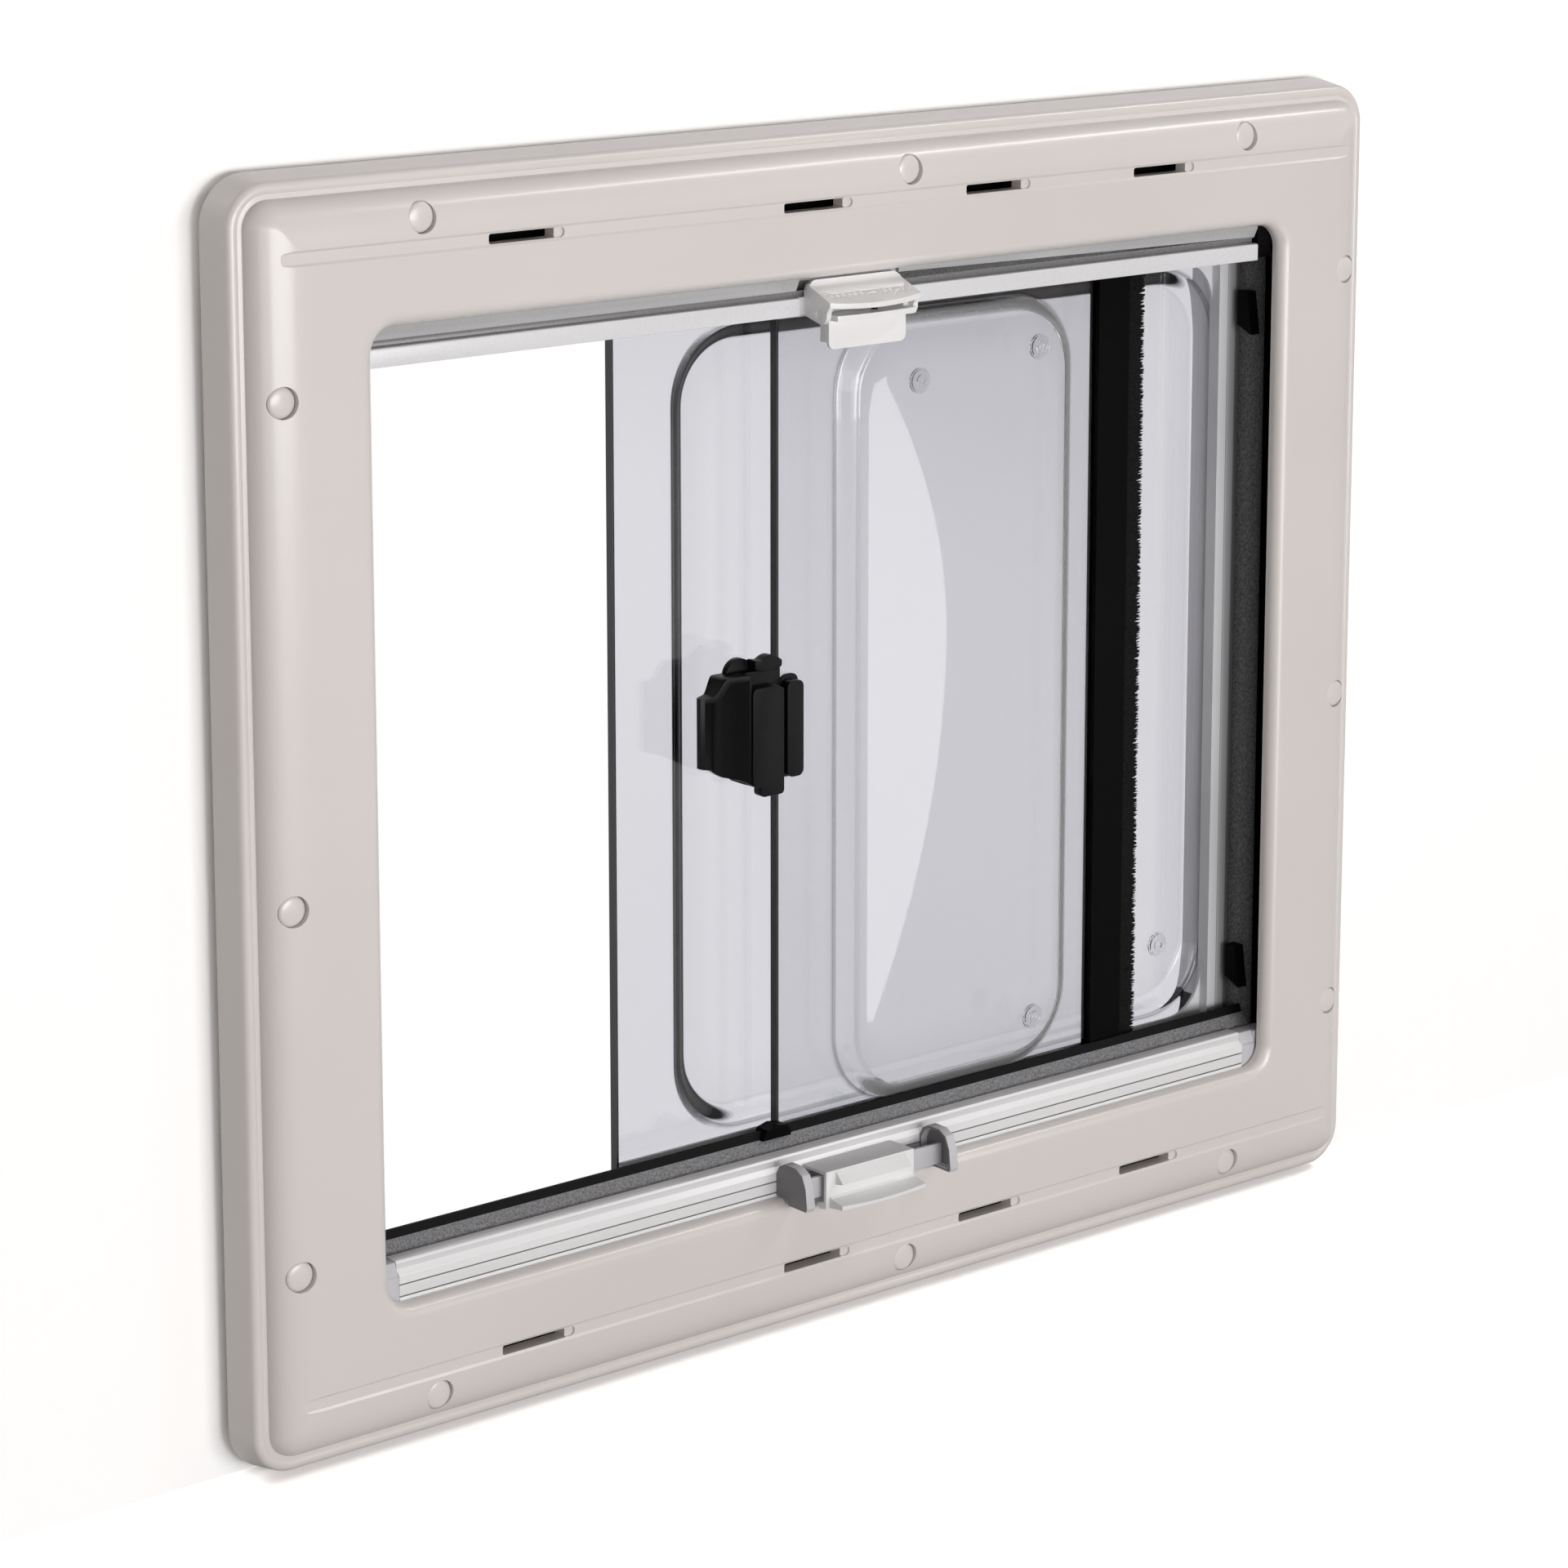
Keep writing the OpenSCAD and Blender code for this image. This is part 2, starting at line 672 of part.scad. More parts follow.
module sash_gliders() {
    color([0.12, 0.12, 0.13]) at_centre() for (s = [-1, 1], x = [sash_edge_x + glider_inset, stile_x0 - glider_inset])
        translate([x - glider_l / 2, sash_in + 0.5, s > 0 ? sash_half_h : -sash_half_h - glider_h])
            cube([glider_l, 2 * sheet_t - 1, glider_h]);
}

// Clear plugs that close the drying holes, two in each pane
module vent_plug(y) {
    translate([0, y, 0]) rotate([90, 0, 0]) {
        cylinder(d = plug_d, h = plug_t / 2);
        translate([0, 0, plug_t / 2]) cylinder(d = plug_d - plug_t, h = plug_t / 2);
        difference() {
            cylinder(d = plug_d / 2, h = plug_t + 1);
            translate([0, 0, plug_t]) cylinder(d = plug_d / 4, h = 2);
        }
    }
}

module pane_vent_plugs() {
    sash_z = sash_bulge_half_h - plug_inset_z;
    fixed_z = fixed_bulge_half_h - 1.5 * plug_inset_z;
    color([0.9, 0.9, 0.92, 0.6]) at_centre() {
        for (s = [-1, 1]) translate([sash_bulge_x1 - plug_inset_x, 0, s * sash_z]) vent_plug(sash_in - bulge_h);
        translate([fixed_bulge_x1 - 1.25 * plug_inset_x, 0, -fixed_z]) vent_plug(fixed_in);
        translate([(fixed_bulge_x0 + fixed_bulge_x1) / 2 - plug_inset_x, 0, fixed_z]) vent_plug(fixed_in);
    }
}

// Wedge that stops the sliding pane, standing on the lower track
module sash_stop() {
    top = -reveal_h / 2 + track_top;
    x1 = sash_edge_x + 1;
    color([0.1, 0.1, 0.1]) at_centre() difference() {
        plate(track_block_out - 5, sash_in - 0.2)
            polygon([[x1 - stop_l, top], [x1, top], [x1, top + 2], [x1 - 2, top + 5],
                [x1 - stop_l / 2, top + 6], [x1 - stop_l + 2.5, top + 4.6]]);
        along_x(x1 - stop_l - 1, x1 + 1) polygon([[track_block_out - 2.8, top - 1], [track_block_out + 0.3, top - 1],
            [track_block_out + 0.3, top + fin_h + 0.3], [track_block_out - 2.8, top + fin_h + 0.3]]);
    }
}

// Latch on the leading edge of the sliding pane, drawn from its middle height
module latch_body() {
    color([0.06, 0.06, 0.07]) at_centre() translate([0, 0, latch_z]) {
        plate(sash_in - latch_t, sash_in - latch_back) rounded_span(latch_x0, latch_x1, latch_low, latch_high, 2.5);
        plate(sash_in - latch_t + 1.5, sash_in - latch_back)
            rounded_span(latch_x0 + 2, latch_x1 + 2.4, latch_low + 1.5, latch_high - 1.5, 1.5);
        plate(sash_in - latch_back, sash_out)
            rounded_span(latch_x0, sash_edge_x - strip_t, latch_low, latch_high + latch_seat, 2);
        plate(sash_in - latch_back - 3, sash_in - latch_back)
            rounded_span(latch_x0, latch_x1, latch_low, latch_high + latch_seat, 2);
        plate(sash_in - 5, sash_in)
            rounded_span(latch_x0 + latch_w - 6, sash_edge_x - strip_t, latch_low - 7, latch_low + 3, 2);
    }
}

// Outline of the wing in X and Z: low lip at the left, rising in a curve to the block.
// Its lower edge runs through points read off the photo, as lengths from the lip's foot.
module wing_outline(inset) {
    x0 = latch_x0 - wing_w + inset;
    low = latch_low + inset;
    rise = latch_high + latch_seat - inset;
    lip = latch_high - 1 - inset;
    polygon(concat(
        [[x0, low + 12], [x0 + 6, low + 10.5], [x0 + 12, low + 7.5], [x0 + 17, low + 4.5],
         [x0 + 22, low + 3.5], [latch_x0, low + 1.5], [latch_x0, rise]],
        [for (t = [0:0.125:1]) [x0 + 14 - 8 * t, lip + (rise - lip) * (1 + cos(180 * t)) / 2]],
        [[x0, lip]]));
}

// The wing's thickness in X and Y, with or without the trough for the fingers
module wing_plan(trough) {
    x0 = latch_x0 - wing_w;
    y_back = sash_in + 1.5;
    front = sash_in - latch_t + 1;
    arc = [for (t = [0:0.1:1]) [x0 + 7.5 + (wing_w - 8.5) * t, sash_in - 6.5 + 6 * sin(180 * pow(t, 0.8)) - 4.5 * t * t]];
    polygon(concat(
        [[latch_x0, y_back], [x0 + 13, y_back], [x0 + 1, sash_in - 4.5], [x0, sash_in - 5.5], [x0, sash_in - 8],
         [x0 + 2, sash_in - 8.6]],
        trough ? arc : [[x0 + 10, front + 1.5]],
        [[latch_x0, front]]));
}

module wing_layer(inset, trough) {
    intersection() {
        plate(sash_in - latch_t, sash_in + 4) wing_outline(inset);
        translate([0, 0, latch_low - 1]) linear_extrude(latch_h + 20) wing_plan(trough);
    }
}

module latch_wing() {
    wall_w = 2.2;
    color([0.06, 0.06, 0.07]) at_centre() translate([0, 0, latch_z]) {
        wing_layer(0, true);
        intersection() {
            difference() {
                wing_layer(0, false);
                plate(sash_in - latch_t - 1, sash_in + 5) wing_outline(wall_w);
            }
            translate([latch_x0 - wing_w, sash_in - latch_t, 0]) cube([wing_w, 2 * latch_t, latch_h]);
        }
    }
}

module latch_clamp() {
    color([0.06, 0.06, 0.07]) at_centre() translate([0, 0, latch_z]) {
        plate(sash_in - clamp_t, sash_in - 1.2)
            rounded_span(sash_edge_x, sash_edge_x + clamp_w, latch_low, latch_high - 1, 3);
        plate(sash_in - 1.2, sash_in)
            rounded_span(sash_edge_x, sash_edge_x + clamp_w + 1, latch_low - 1, latch_high + 1, 3.5);
    }
}

// Saddle-shaped lever and the round hump behind it, on top of the latch
module latch_lever() {
    seat = latch_high + latch_seat;
    x0 = latch_x0 + 4.5;
    x1 = latch_x1 + 3.4;
    color([0.06, 0.06, 0.07]) at_centre() translate([0, 0, latch_z]) {
        plate(sash_in - 8, sash_in - latch_back)
            polygon(concat([[x0 + 3, seat], [x0, seat + 1.5], [x0, seat + 5.4], [x0 + 4, seat + 4.9]],
                [for (t = [0:0.125:1]) [x0 + 4 + (x1 - x0 - 4) * t, seat + 4.9 + 2.2 * sin(180 * t) - t]],
                [[x1, seat + 1.5], [x1 - 2, seat]]));
        plate(sash_in - latch_back, sash_in + 1.5) intersection() {
            translate([latch_x0 + 0.5, seat - 1.5]) circle(d = hump_d);
            translate([latch_x0 - hump_d, seat]) square([2 * hump_d, hump_d]);
        }
    }
}

// Roller housing over the opening, open towards it
module cassette() {
    along_x(-rail_x0, rail_x0) difference() {
        translate([rail_front, cassette_z0]) square([neck_front - rail_front, cassette_z1 - cassette_z0]);
        translate([rail_front + cassette_t, cassette_z0 - 1])
            square([neck_front - rail_front - 2 * cassette_t, cassette_z1 - cassette_z0 + 1 - cassette_t]);
    }
}

module roll() {
    z = cassette_z1 - cassette_t - roll_d / 2 - roll_play;
    y = (rail_front + neck_front) / 2;
    translate([roll_end_gap - rail_x0, y, z]) rotate([0, 90, 0])
        cylinder(d = roll_d, h = 2 * (rail_x0 - roll_end_gap));
    translate([-rail_x0, y, z]) rotate([0, 90, 0]) cylinder(d = roll_core_d, h = 2 * rail_x0);
}

module screen_cassette() {
    color([0.5, 0.5, 0.52]) at_centre() cassette();
}

module screen_roller() {
    color([0.25, 0.25, 0.25]) at_centre() roll();
}

module blind_cassette() {
    color([0.5, 0.5, 0.52]) at_centre() mirror([0, 0, 1]) cassette();
}

module blind_roller() {
    color([0.75, 0.75, 0.76]) at_centre() mirror([0, 0, 1]) roll();
}

// Bar or handle along X from a profile of depth out of the bar's front and height from its free edge
module on_bar(x0, x1) {
    along_x(x0, x1) translate([bar_front, bar_z0]) mirror([1, 0]) children();
}

// Lower lip, deep groove and slanted upper face, seen from its end
module screen_bar_profile() {
    polygon([[0, 0], [0, screen_lip_h], [-0.6, screen_lip_h + 0.6], [-screen_groove_d, screen_lip_h + 0.7],
        [-screen_groove_d, screen_groove_top], [-screen_slant_back, screen_groove_top + 0.6],
        [-screen_face_back, screen_slant_top], [-screen_face_back, bar_h],
        [-bar_d, bar_h], [-bar_d, 0]]);
}

module screen_bar() {
    color([0.75, 0.76, 0.78]) at_centre() difference() {
        on_bar(bar_play - opening_w / 2, bar_x1) screen_bar_profile();
        on_bar(handle_x0 - notch_side, handle_x1 + notch_play)
            translate([-handle_foot, -1]) square([handle_foot + 1, bar_h + 2]);
    }
}

// Slanted top edge, slanted rib and a flat face with two thin grooves
module blind_bar_profile() {
    difference() {
        polygon([[-blind_edge_back, 0], [-blind_rib_back, 0.9], [-blind_rib_back, blind_rib_foot],
            [0, blind_face_foot], [0, bar_h], [-bar_d, bar_h], [-bar_d, 0]]);
        for (v = blind_grooves) translate([-blind_groove_d, v]) square([blind_groove_d + 1, blind_groove_t]);
    }
}

module blind_bar() {
    color([0.8, 0.81, 0.83]) at_centre() mirror([0, 0, 1]) on_bar(-bar_x1, bar_x1) blind_bar_profile();
}

// Tongue that runs in the guide rail
module bar_tongue() {
    on_bar(opening_w / 2 - bar_play, bar_end_x) translate([-bar_d, tongue_foot]) square([bar_d - 1, bar_h - tongue_foot]);
}

// End cap of a bar with its tongue
module bar_end() {
    on_bar(bar_x1, opening_w / 2 - bar_play) polygon([[-blind_edge_back, tongue_foot], [-1, blind_face_foot],
        [-0.2, blind_face_foot + 0.6], [-0.2, bar_h], [-bar_d, bar_h], [-bar_d, tongue_foot]]);
    bar_tongue();
}

module screen_bar_ends() {
    color([0.08, 0.08, 0.09]) at_centre() {
        bar_end();
        mirror([1, 0, 0]) bar_tongue();
    }
}

module blind_bar_ends() {
    color([0.8, 0.8, 0.82]) at_centre() mirror([0, 0, 1]) {
        bar_end();
        mirror([1, 0, 0]) bar_end();
    }
}

// Plan in X and Y with a front edge that bows out in the middle
module bowed_plan(x0, x1, depth, bow) {
    half = (x1 - x0) / 2;
    translate([(x0 + x1) / 2, bar_front]) mirror([0, 1]) polygon(concat(
        [[half, -bar_d], [-half, -bar_d]],
        [for (t = [-1:0.125:1]) [half * t, depth + bow * (1 - t * t)]]));
}

// Back plate, round fillet and the ledge that the fingers press
module ledge_profile() {
    reach = ledge_front + ledge_bow;
    top = ledge_line - ledge_slope * reach;
    r = fillet_r;
    fold = [for (a = [0:13.4:67]) [0.8 + r - r * cos(a), ledge_line - 0.33 + 0.666 * r - r * sin(a)]];
    polygon(concat([[-handle_foot, handle_top], [0.8, handle_top]], fold,
        [[reach, top], [reach, top - ledge_t], [1.2, 9.6], [1.2, 0], [-handle_foot, 0]]));
}

// Cheek at an end of the ledge, with the round hole for the lever's pin
module cheek_profile() {
    tip = ledge_front - 0.6;
    r = 4.4;
    difference() {
        polygon(concat([[-handle_foot, 0], [-handle_foot, 13.5], [0.8, 13.5], [2.4, 11.8], [4.4, 11],
            [tip, ledge_line - ledge_slope * tip - 0.3], [tip, ledge_line - ledge_slope * tip - ledge_t - 0.4]],
            [for (a = [10:-20:-90]) [pivot_depth + 1 + r * cos(a), pivot_rise + r * sin(a)]],
            [[3, -1.5]]));
        translate([pivot_depth, pivot_rise]) circle(d = pivot_d);
    }
}

module screen_handle() {
    color([0.9, 0.9, 0.91]) at_centre() {
        intersection() {
            on_bar(handle_x0, handle_x1) ledge_profile();
            translate([0, 0, bar_z0 - 5]) linear_extrude(handle_top + 10)
                bowed_plan(handle_x0, handle_x1, ledge_front, ledge_bow);
            plate(bar_front - 30, bar_front + bar_d)
                rounded_span(handle_x0, handle_x1, bar_z0 - 10, bar_z0 + handle_top, 4);
        }
        on_bar(handle_x0, handle_x0 + cheek_t) cheek_profile();
        on_bar(handle_x1 - cheek_t, handle_x1) cheek_profile();
    }
}

// Pressed lever with round pins in the cheeks and a skirt that hangs down
module screen_lever() {
    x0 = handle_x0 + cheek_t + lever_gap;
    x1 = handle_x1 - cheek_t - lever_gap;
    color([0.88, 0.88, 0.89]) at_centre() {
        translate([0, 0, bar_z0 + lever_top - lever_t]) linear_extrude(lever_t) difference() {
            bowed_plan(x0, x1, ledge_front + 0.8, ledge_bow / 2);
            translate([x0 - 1, bar_front - pivot_depth + 2]) square([x1 - x0 + 2, 3 * bar_d]);
        }
        plate(bar_front - pivot_depth - skirt_t / 2, bar_front - pivot_depth + skirt_t / 2)
            rounded_span(x0 + 1.5, x1 + 0.6, bar_z0 - skirt_drop, bar_z0 + lever_top, 3);
        on_bar(x0 + 1.5, x0 + 2.7) translate([pivot_depth - 5, -skirt_drop + 3])
            square([5, skirt_drop - 3 + lever_top - lever_t / 2]);
        for (x = [handle_x0 + 1, x1 - 2]) on_bar(x, x + cheek_t + lever_gap + 1)
            translate([pivot_depth, pivot_rise]) circle(d = pivot_d);
    }
}

// Hollow grip: top plate, front wall, tongue for the finger and hooked foot.
// Each point is a depth out of the bar's front and a height from its free edge.
module grip_profile() {
    polygon([[0, grip_rise + 0.4], [grip_depth, grip_rise], [grip_depth, 15.8], [grip_depth + 1.4, 17],
        [tongue_depth + tongue_bow, 18.6], [tongue_depth + tongue_bow, 20.1], [18, 21], [12.5, 22.2],
        [10.5, 21.6], [10.5, 19.6], [grip_depth - grip_wall_t, 18.4],
        [grip_depth - grip_wall_t, grip_rise + grip_wall_t], [0, grip_rise + grip_wall_t]]);
}

module hood_profile() {
    polygon([[grip_depth - 0.5, grip_rise + 0.6], [grip_depth, grip_rise + 0.6], [grip_depth + 4.7, 9.9],
        [grip_depth + 4.3, 10.5], [grip_depth - 0.5, 11.5]]);
}

module blind_grip() {
    x0 = grip_x - blind_grip_l / 2;
    x1 = grip_x + blind_grip_l / 2;
    color([0.86, 0.86, 0.88]) at_centre() mirror([0, 0, 1]) {
        intersection() {
            on_bar(x0, x1) grip_profile();
            translate([0, 0, bar_z0]) linear_extrude(30) union() {
                bowed_plan(x0 + 2, x1 - 0.5, tongue_depth, tongue_bow);
                bowed_plan(x0, x1, grip_depth, 0);
            }
        }
        on_bar(grip_x - hood_l / 2, grip_x + hood_l / 2) hood_profile();
    }
}

// Guide clip at the end of the link strip: a hollow plate that stands out from the bar.
// The inset moves every side of the outline inwards, for the hollow.
module clip_outline(inset) {
    i = inset;
    polygon([[i, 16 - i], [i, 5.5 + i], [2 + i, 2 + i], [6 + i / 2, i], [13.5 - i / 2, i], [18 - i, 2.5 + i],
        [20.5 - i, 8 + i / 2], [21.5 - i, 17 - i], [20.6 - i, 18.6 - i], [8.4 + i, 18.6 - i], [8.4 + i, 16 - i]]);
}

module guide_clip() {
    x1 = clip_span / 2;
    difference() {
        on_bar(x1 - clip_t, x1) clip_outline(0);
        on_bar(x1 - clip_t - 1, x1 - clip_wall_t) clip_outline(1.5);
    }
}

module blind_guide_clips() {
    color([0.8, 0.8, 0.82]) at_centre() mirror([0, 0, 1]) {
        guide_clip();
        mirror([1, 0, 0]) guide_clip();
    }
}

module blind_link_strip() {
    half = clip_span / 2 - clip_wall_t;
    color([0.8, 0.8, 0.82]) at_centre() mirror([0, 0, 1]) on_bar(-half, half)
        translate([strip_depth, link_rise]) square([link_t, link_h]);
}

interior_frame();
screw_caps();
clamp_screws();
outer_frame();
wall_gasket();
guide_rail_left();
guide_rail_right();
upper_track();
lower_track();
upper_fin_seal();
lower_fin_seal();
glazing_bead();
reveal_catches();
fixed_pane_inner_sheet();
fixed_pane_outer_sheet();
fixed_pane_edge_strip();
sliding_pane_inner_sheet();
sliding_pane_outer_sheet();
sliding_pane_edge_strip();
sliding_stile();
brush_seal();
sash_gliders();
pane_vent_plugs();
sash_stop();
latch_body();
latch_wing();
latch_clamp();
latch_lever();
screen_cassette();
screen_roller();
screen_bar();
screen_bar_ends();
screen_handle();
screen_lever();
blind_cassette();
blind_roller();
blind_bar();
blind_bar_ends();
blind_grip();
blind_guide_clips();
blind_link_strip();
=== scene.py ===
"""Looks of a sliding caravan window, seen from the room side.

The script is laid out as an add-on: sizes and finishes are properties, each group of like pieces
has an operator, and a panel in the sidebar lists them. Lengths are in millimetres until a mesh is
made. X runs along the width, Y points out of the vehicle and Z points up.
"""

import math

import bmesh
import bpy
import numpy as np
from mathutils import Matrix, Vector


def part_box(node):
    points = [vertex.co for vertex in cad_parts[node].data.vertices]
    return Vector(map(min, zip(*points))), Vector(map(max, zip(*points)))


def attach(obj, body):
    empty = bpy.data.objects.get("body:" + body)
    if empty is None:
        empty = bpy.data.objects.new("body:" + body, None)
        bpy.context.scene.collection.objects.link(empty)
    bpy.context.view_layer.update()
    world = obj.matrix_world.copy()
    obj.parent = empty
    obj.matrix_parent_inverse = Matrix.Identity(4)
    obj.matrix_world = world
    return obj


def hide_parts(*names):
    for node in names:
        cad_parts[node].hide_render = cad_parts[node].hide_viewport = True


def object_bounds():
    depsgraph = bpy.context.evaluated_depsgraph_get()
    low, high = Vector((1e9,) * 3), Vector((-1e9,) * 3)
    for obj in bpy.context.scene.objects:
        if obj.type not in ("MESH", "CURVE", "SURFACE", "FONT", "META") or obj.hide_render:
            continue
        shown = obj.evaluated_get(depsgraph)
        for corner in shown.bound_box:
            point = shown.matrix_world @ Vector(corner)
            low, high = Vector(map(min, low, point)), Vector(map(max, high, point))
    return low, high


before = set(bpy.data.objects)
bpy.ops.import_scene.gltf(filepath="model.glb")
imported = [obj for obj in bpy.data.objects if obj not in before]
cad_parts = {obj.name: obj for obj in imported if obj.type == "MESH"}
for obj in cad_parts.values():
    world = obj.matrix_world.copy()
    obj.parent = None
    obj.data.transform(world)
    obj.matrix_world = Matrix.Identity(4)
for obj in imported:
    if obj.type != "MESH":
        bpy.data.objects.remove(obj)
CAD_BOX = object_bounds()

bl_info = {
    "name": "Caravan window",
    "version": (1, 0, 0),
    "blender": (4, 5, 0),
    "location": "3D View > Sidebar > Window",
    "description": "Builds the visible pieces of a sliding caravan window around its solid model",
    "category": "Add Mesh",
}

MM = 0.001
FINISHES = {}


def node_box(node):
    """Lowest and highest corner of a solid in millimetres."""
    low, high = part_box(node)
    return np.array(low) / MM, np.array(high) / MM


FRAME_LOW, FRAME_HIGH = node_box("interior_frame")
FIXED_LOW, FIXED_HIGH = node_box("fixed_pane_inner_sheet")
BAR_LOW = node_box("screen_bar")[0]
CENTRE_Z = (FRAME_LOW[2] + FRAME_HIGH[2]) / 2
WALL_Y = FRAME_HIGH[1]
CREST_Y = FRAME_LOW[1]

# Moulding: places in from its outer edge, and its radii and wall
BEAD_INSET = 5.4
BEAD_R = 3.0
VALLEY_INSET = 9.4
VALLEY_DROP = 0.5
CREST_INSET = 33.0
CROWN_POWER = 0.515
BLEND_FROM = 36.0
BLEND_TO = 55.5
MITRE_R = 1.5
BACK_SHIFT = 1.2
LIP_R = 5.5
LIP_H = 7.0
SKIN_T = 3.0

# Bands, air slots, caps and their seats
BAND_INSET = 32.2
BAND_HALF_L = 295.6
BAND_HALF_H = 2.2
BAND_R = 1.5
BAND_DEPTH = 0.8
BAND_SPREAD = 4.6
SLOT_SHARES = (-0.357, -0.056, 0.146, 0.344)
SLOT_R = 1.0
DUCT_WALL = 1.1
DUCT_END = 8.0
POCKET_L = 4.6
POCKET_DEPTH = 2.0
SCREW_INSET = 20.8
SCREW_SHARES_X = (-0.4526, 0.0506, 0.452)
SCREW_SHARES_Z = (-0.4397, -0.064, 0.4397)
SEAT_R = 6.55
SEAT_DEPTH = 3.8
CAP_R = 6.3
DOME_R = 5.85
DOME_H = 1.05
CUT_CLEAR = 3.0

# Panes: margins from a sheet's edge to its bulge, and where the rings of a flat sheet lie
SHEET_T = 2.42
SHEET_GAP = 0.04
DRAWN_IN = 0.02
SLOPE_W = 9.0
INWARDS = np.array([1, -1, 1, -1])
FIXED_MARGINS = (34.0, 9.0, 26.0)
SASH_MARGINS = (32.0, 19.5, 18.0)
FIXED_R = (14.0, 1.5, 1.5, 14.0)
SASH_R = 1.5
FLAT_RINGS = (38.0, 118.0, -40.0, 40.0)

# Strips beside the panes: depths between which they run, and gaps at their ends
STRIP_T = 0.25
STRIP_R = 0.08
LINER_SPAN = (-36.0, -19.6, 3.0)
SEAL_SPAN = (-7.9, 5.8, 29.0)
SEAL_GAP = 0.2

# Brush
BLADES = 2400
BLADE_LAYERS = 3
BLADE_HALF = 0.62

# Screen handle: its ledge falls from a line over the bar's free edge
LEDGE_LINE = 13.17
LEDGE_SLOPE = 0.417
PIT_COUNT = 14
PIT_R = 0.55
PIT_PITCH = 3.3
PIT_STAGGER = 0.8
PIT_ROWS = (9.0, 11.5)
PIT_DEPTH = 0.8
SCREW_X = 3.2
SCREW_FRONT = 9.0
SCREW_FOOT = 1.15
BAR_ROUND = 0.3

# Stage: places in metres, angles in degrees and powers in watts
CAMERA_PLACE = (-1.2396, -1.5119, 0.4735)
CAMERA_YAW = 39.317
CAMERA_PITCH = 10.94
CAMERA_LENS = 103.714
CAMERA_SHIFT = -0.18
LAMPS = (
    ("key_softbox", (0.1, -2.5, 0.3), (1.6, 1.0), 40),
    ("fill_softbox", (-1.3, -2.2, 0.4), (1.2, 1.0), 8),
    ("top_strip", (1.15, -0.85, 1.5), (1.0, 0.09), 5),
    ("back_softbox", (-0.8, 2.2, 1.6), (1.6, 1.2), 26),
)
FLOOR_GAIN = 2.7
WALL_GAIN = 1.2

# Stage: places in millimetres
FLOOR_Z = CAD_BOX[0][2] / MM - 0.2
FLOOR_HALF = 9000.0
WALL_HALF = 2500.0
WALL_STAND_OFF = 6.0

# Tone bands of painted light and shade: places along an axis in millimetres, each with a grey level
# Liner: painted shade that darkens it towards its room side edge
LINER_PAINTED_SHADE = ((-36, 0.3), (-33, 0.6), (-26, 1.0), (-19.5, 1.0))
# Glazing bead: painted highlight lines and painted shade that darkens it towards the reveal wall
BEAD_PAINTED_LIGHT = (
    (246, 0.9), (251.8, 0.95), (252.1, 0.35), (252.6, 0.75), (253.4, 0.55), (256.6, 0.45),
    (257.6, 0.16), (260, 0.12))
# Blind bar: painted shade in its grooves and recess, with its ribs left at full tone as painted highlights
BLIND_BAR_PAINTED_LIGHT = (
    (56, 0.88), (57.4, 0.88), (57.5, 0.25), (58.0, 0.25), (58.1, 0.8), (62.5, 0.8), (62.6, 0.3),
    (63.1, 0.3), (63.2, 0.9), (66.6, 0.86), (66.9, 1.0), (68.7, 1.0), (69.0, 0.74), (71.4, 0.72),
    (71.7, 1.0), (72.5, 1.0))
# Screen bar: full tone on its white lip, painted shade in the groove above it and on the slanted face above
# that
SCREEN_BAR_PAINTED_SHADE = (
    (445, 1.0), (452.9, 1.0), (453.6, 0.2), (455.0, 0.3), (456.5, 0.72), (459, 0.6), (464, 0.55))

# Finishes of the solids that stay as they are
SOLID_FINISHES = {
    "zinc": ("clamp_screws",),
    "black_frame": (
        "outer_frame", "guide_rail_left", "guide_rail_right", "reveal_catches", "sliding_stile",
        "sash_gliders", "sash_stop"),
    "black_rubber": ("wall_gasket", "upper_fin_seal", "lower_fin_seal"),
    "track_grained": ("upper_track", "lower_track"),
    "bead_grey_painted_light": ("glazing_bead",),
    "edge_dark": ("fixed_pane_edge_strip", "sliding_pane_edge_strip"),
    "plug_clear": ("pane_vent_plugs",),
    "bar_drawn": ("screen_cassette", "blind_cassette"),
    "screen_mesh": ("screen_roller",),
    "blind_weave": ("blind_roller",),
}

# Sockets of the mix node for colours
MIX_FACTOR = 0
MIX_A = 6
MIX_B = 7
MIX_OUT = 2


# Sizes and finishes that a user would change

class WindowSizes(bpy.types.PropertyGroup):
    """Sizes of the moulding and the panes in millimetres"""

    frame_w: bpy.props.FloatProperty(
        name="Frame width", description="Width over the room side frame",
        default=FRAME_HIGH[0] - FRAME_LOW[0], min=400)
    frame_h: bpy.props.FloatProperty(
        name="Frame height", description="Height over the room side frame",
        default=FRAME_HIGH[2] - FRAME_LOW[2], min=300)
    corner_r: bpy.props.FloatProperty(
        name="Corner radius", description="Corner radius of the frame at the wall", default=20.5)
    flange_w: bpy.props.FloatProperty(
        name="Flange width", description="From the outer edge to the opening", default=63.5)
    flange_rise: bpy.props.FloatProperty(
        name="Flange height", description="Height of the flange over the wall",
        default=WALL_Y - CREST_Y)
    bead_rise: bpy.props.FloatProperty(
        name="Bead height", description="Height of the bead round the outer edge", default=16.4)
    opening_r: bpy.props.FloatProperty(
        name="Opening radius", description="Corner radius of the opening", default=11.0)
    slot_l: bpy.props.FloatProperty(
        name="Air slot length", description="Length of an air slot", default=33.0)
    slot_h: bpy.props.FloatProperty(
        name="Air slot height", description="Height of an air slot", default=4.2)
    bulge_h: bpy.props.FloatProperty(
        name="Bulge height", description="Height of the formed bulge of a pane", default=7.0)
    bulge_r: bpy.props.FloatProperty(
        name="Bulge radius", description="Corner radius of the bulges", default=36.0)
    edge_round: bpy.props.FloatProperty(
        name="Edge rounding", description="Radius on the edges of the small mouldings",
        default=0.45)


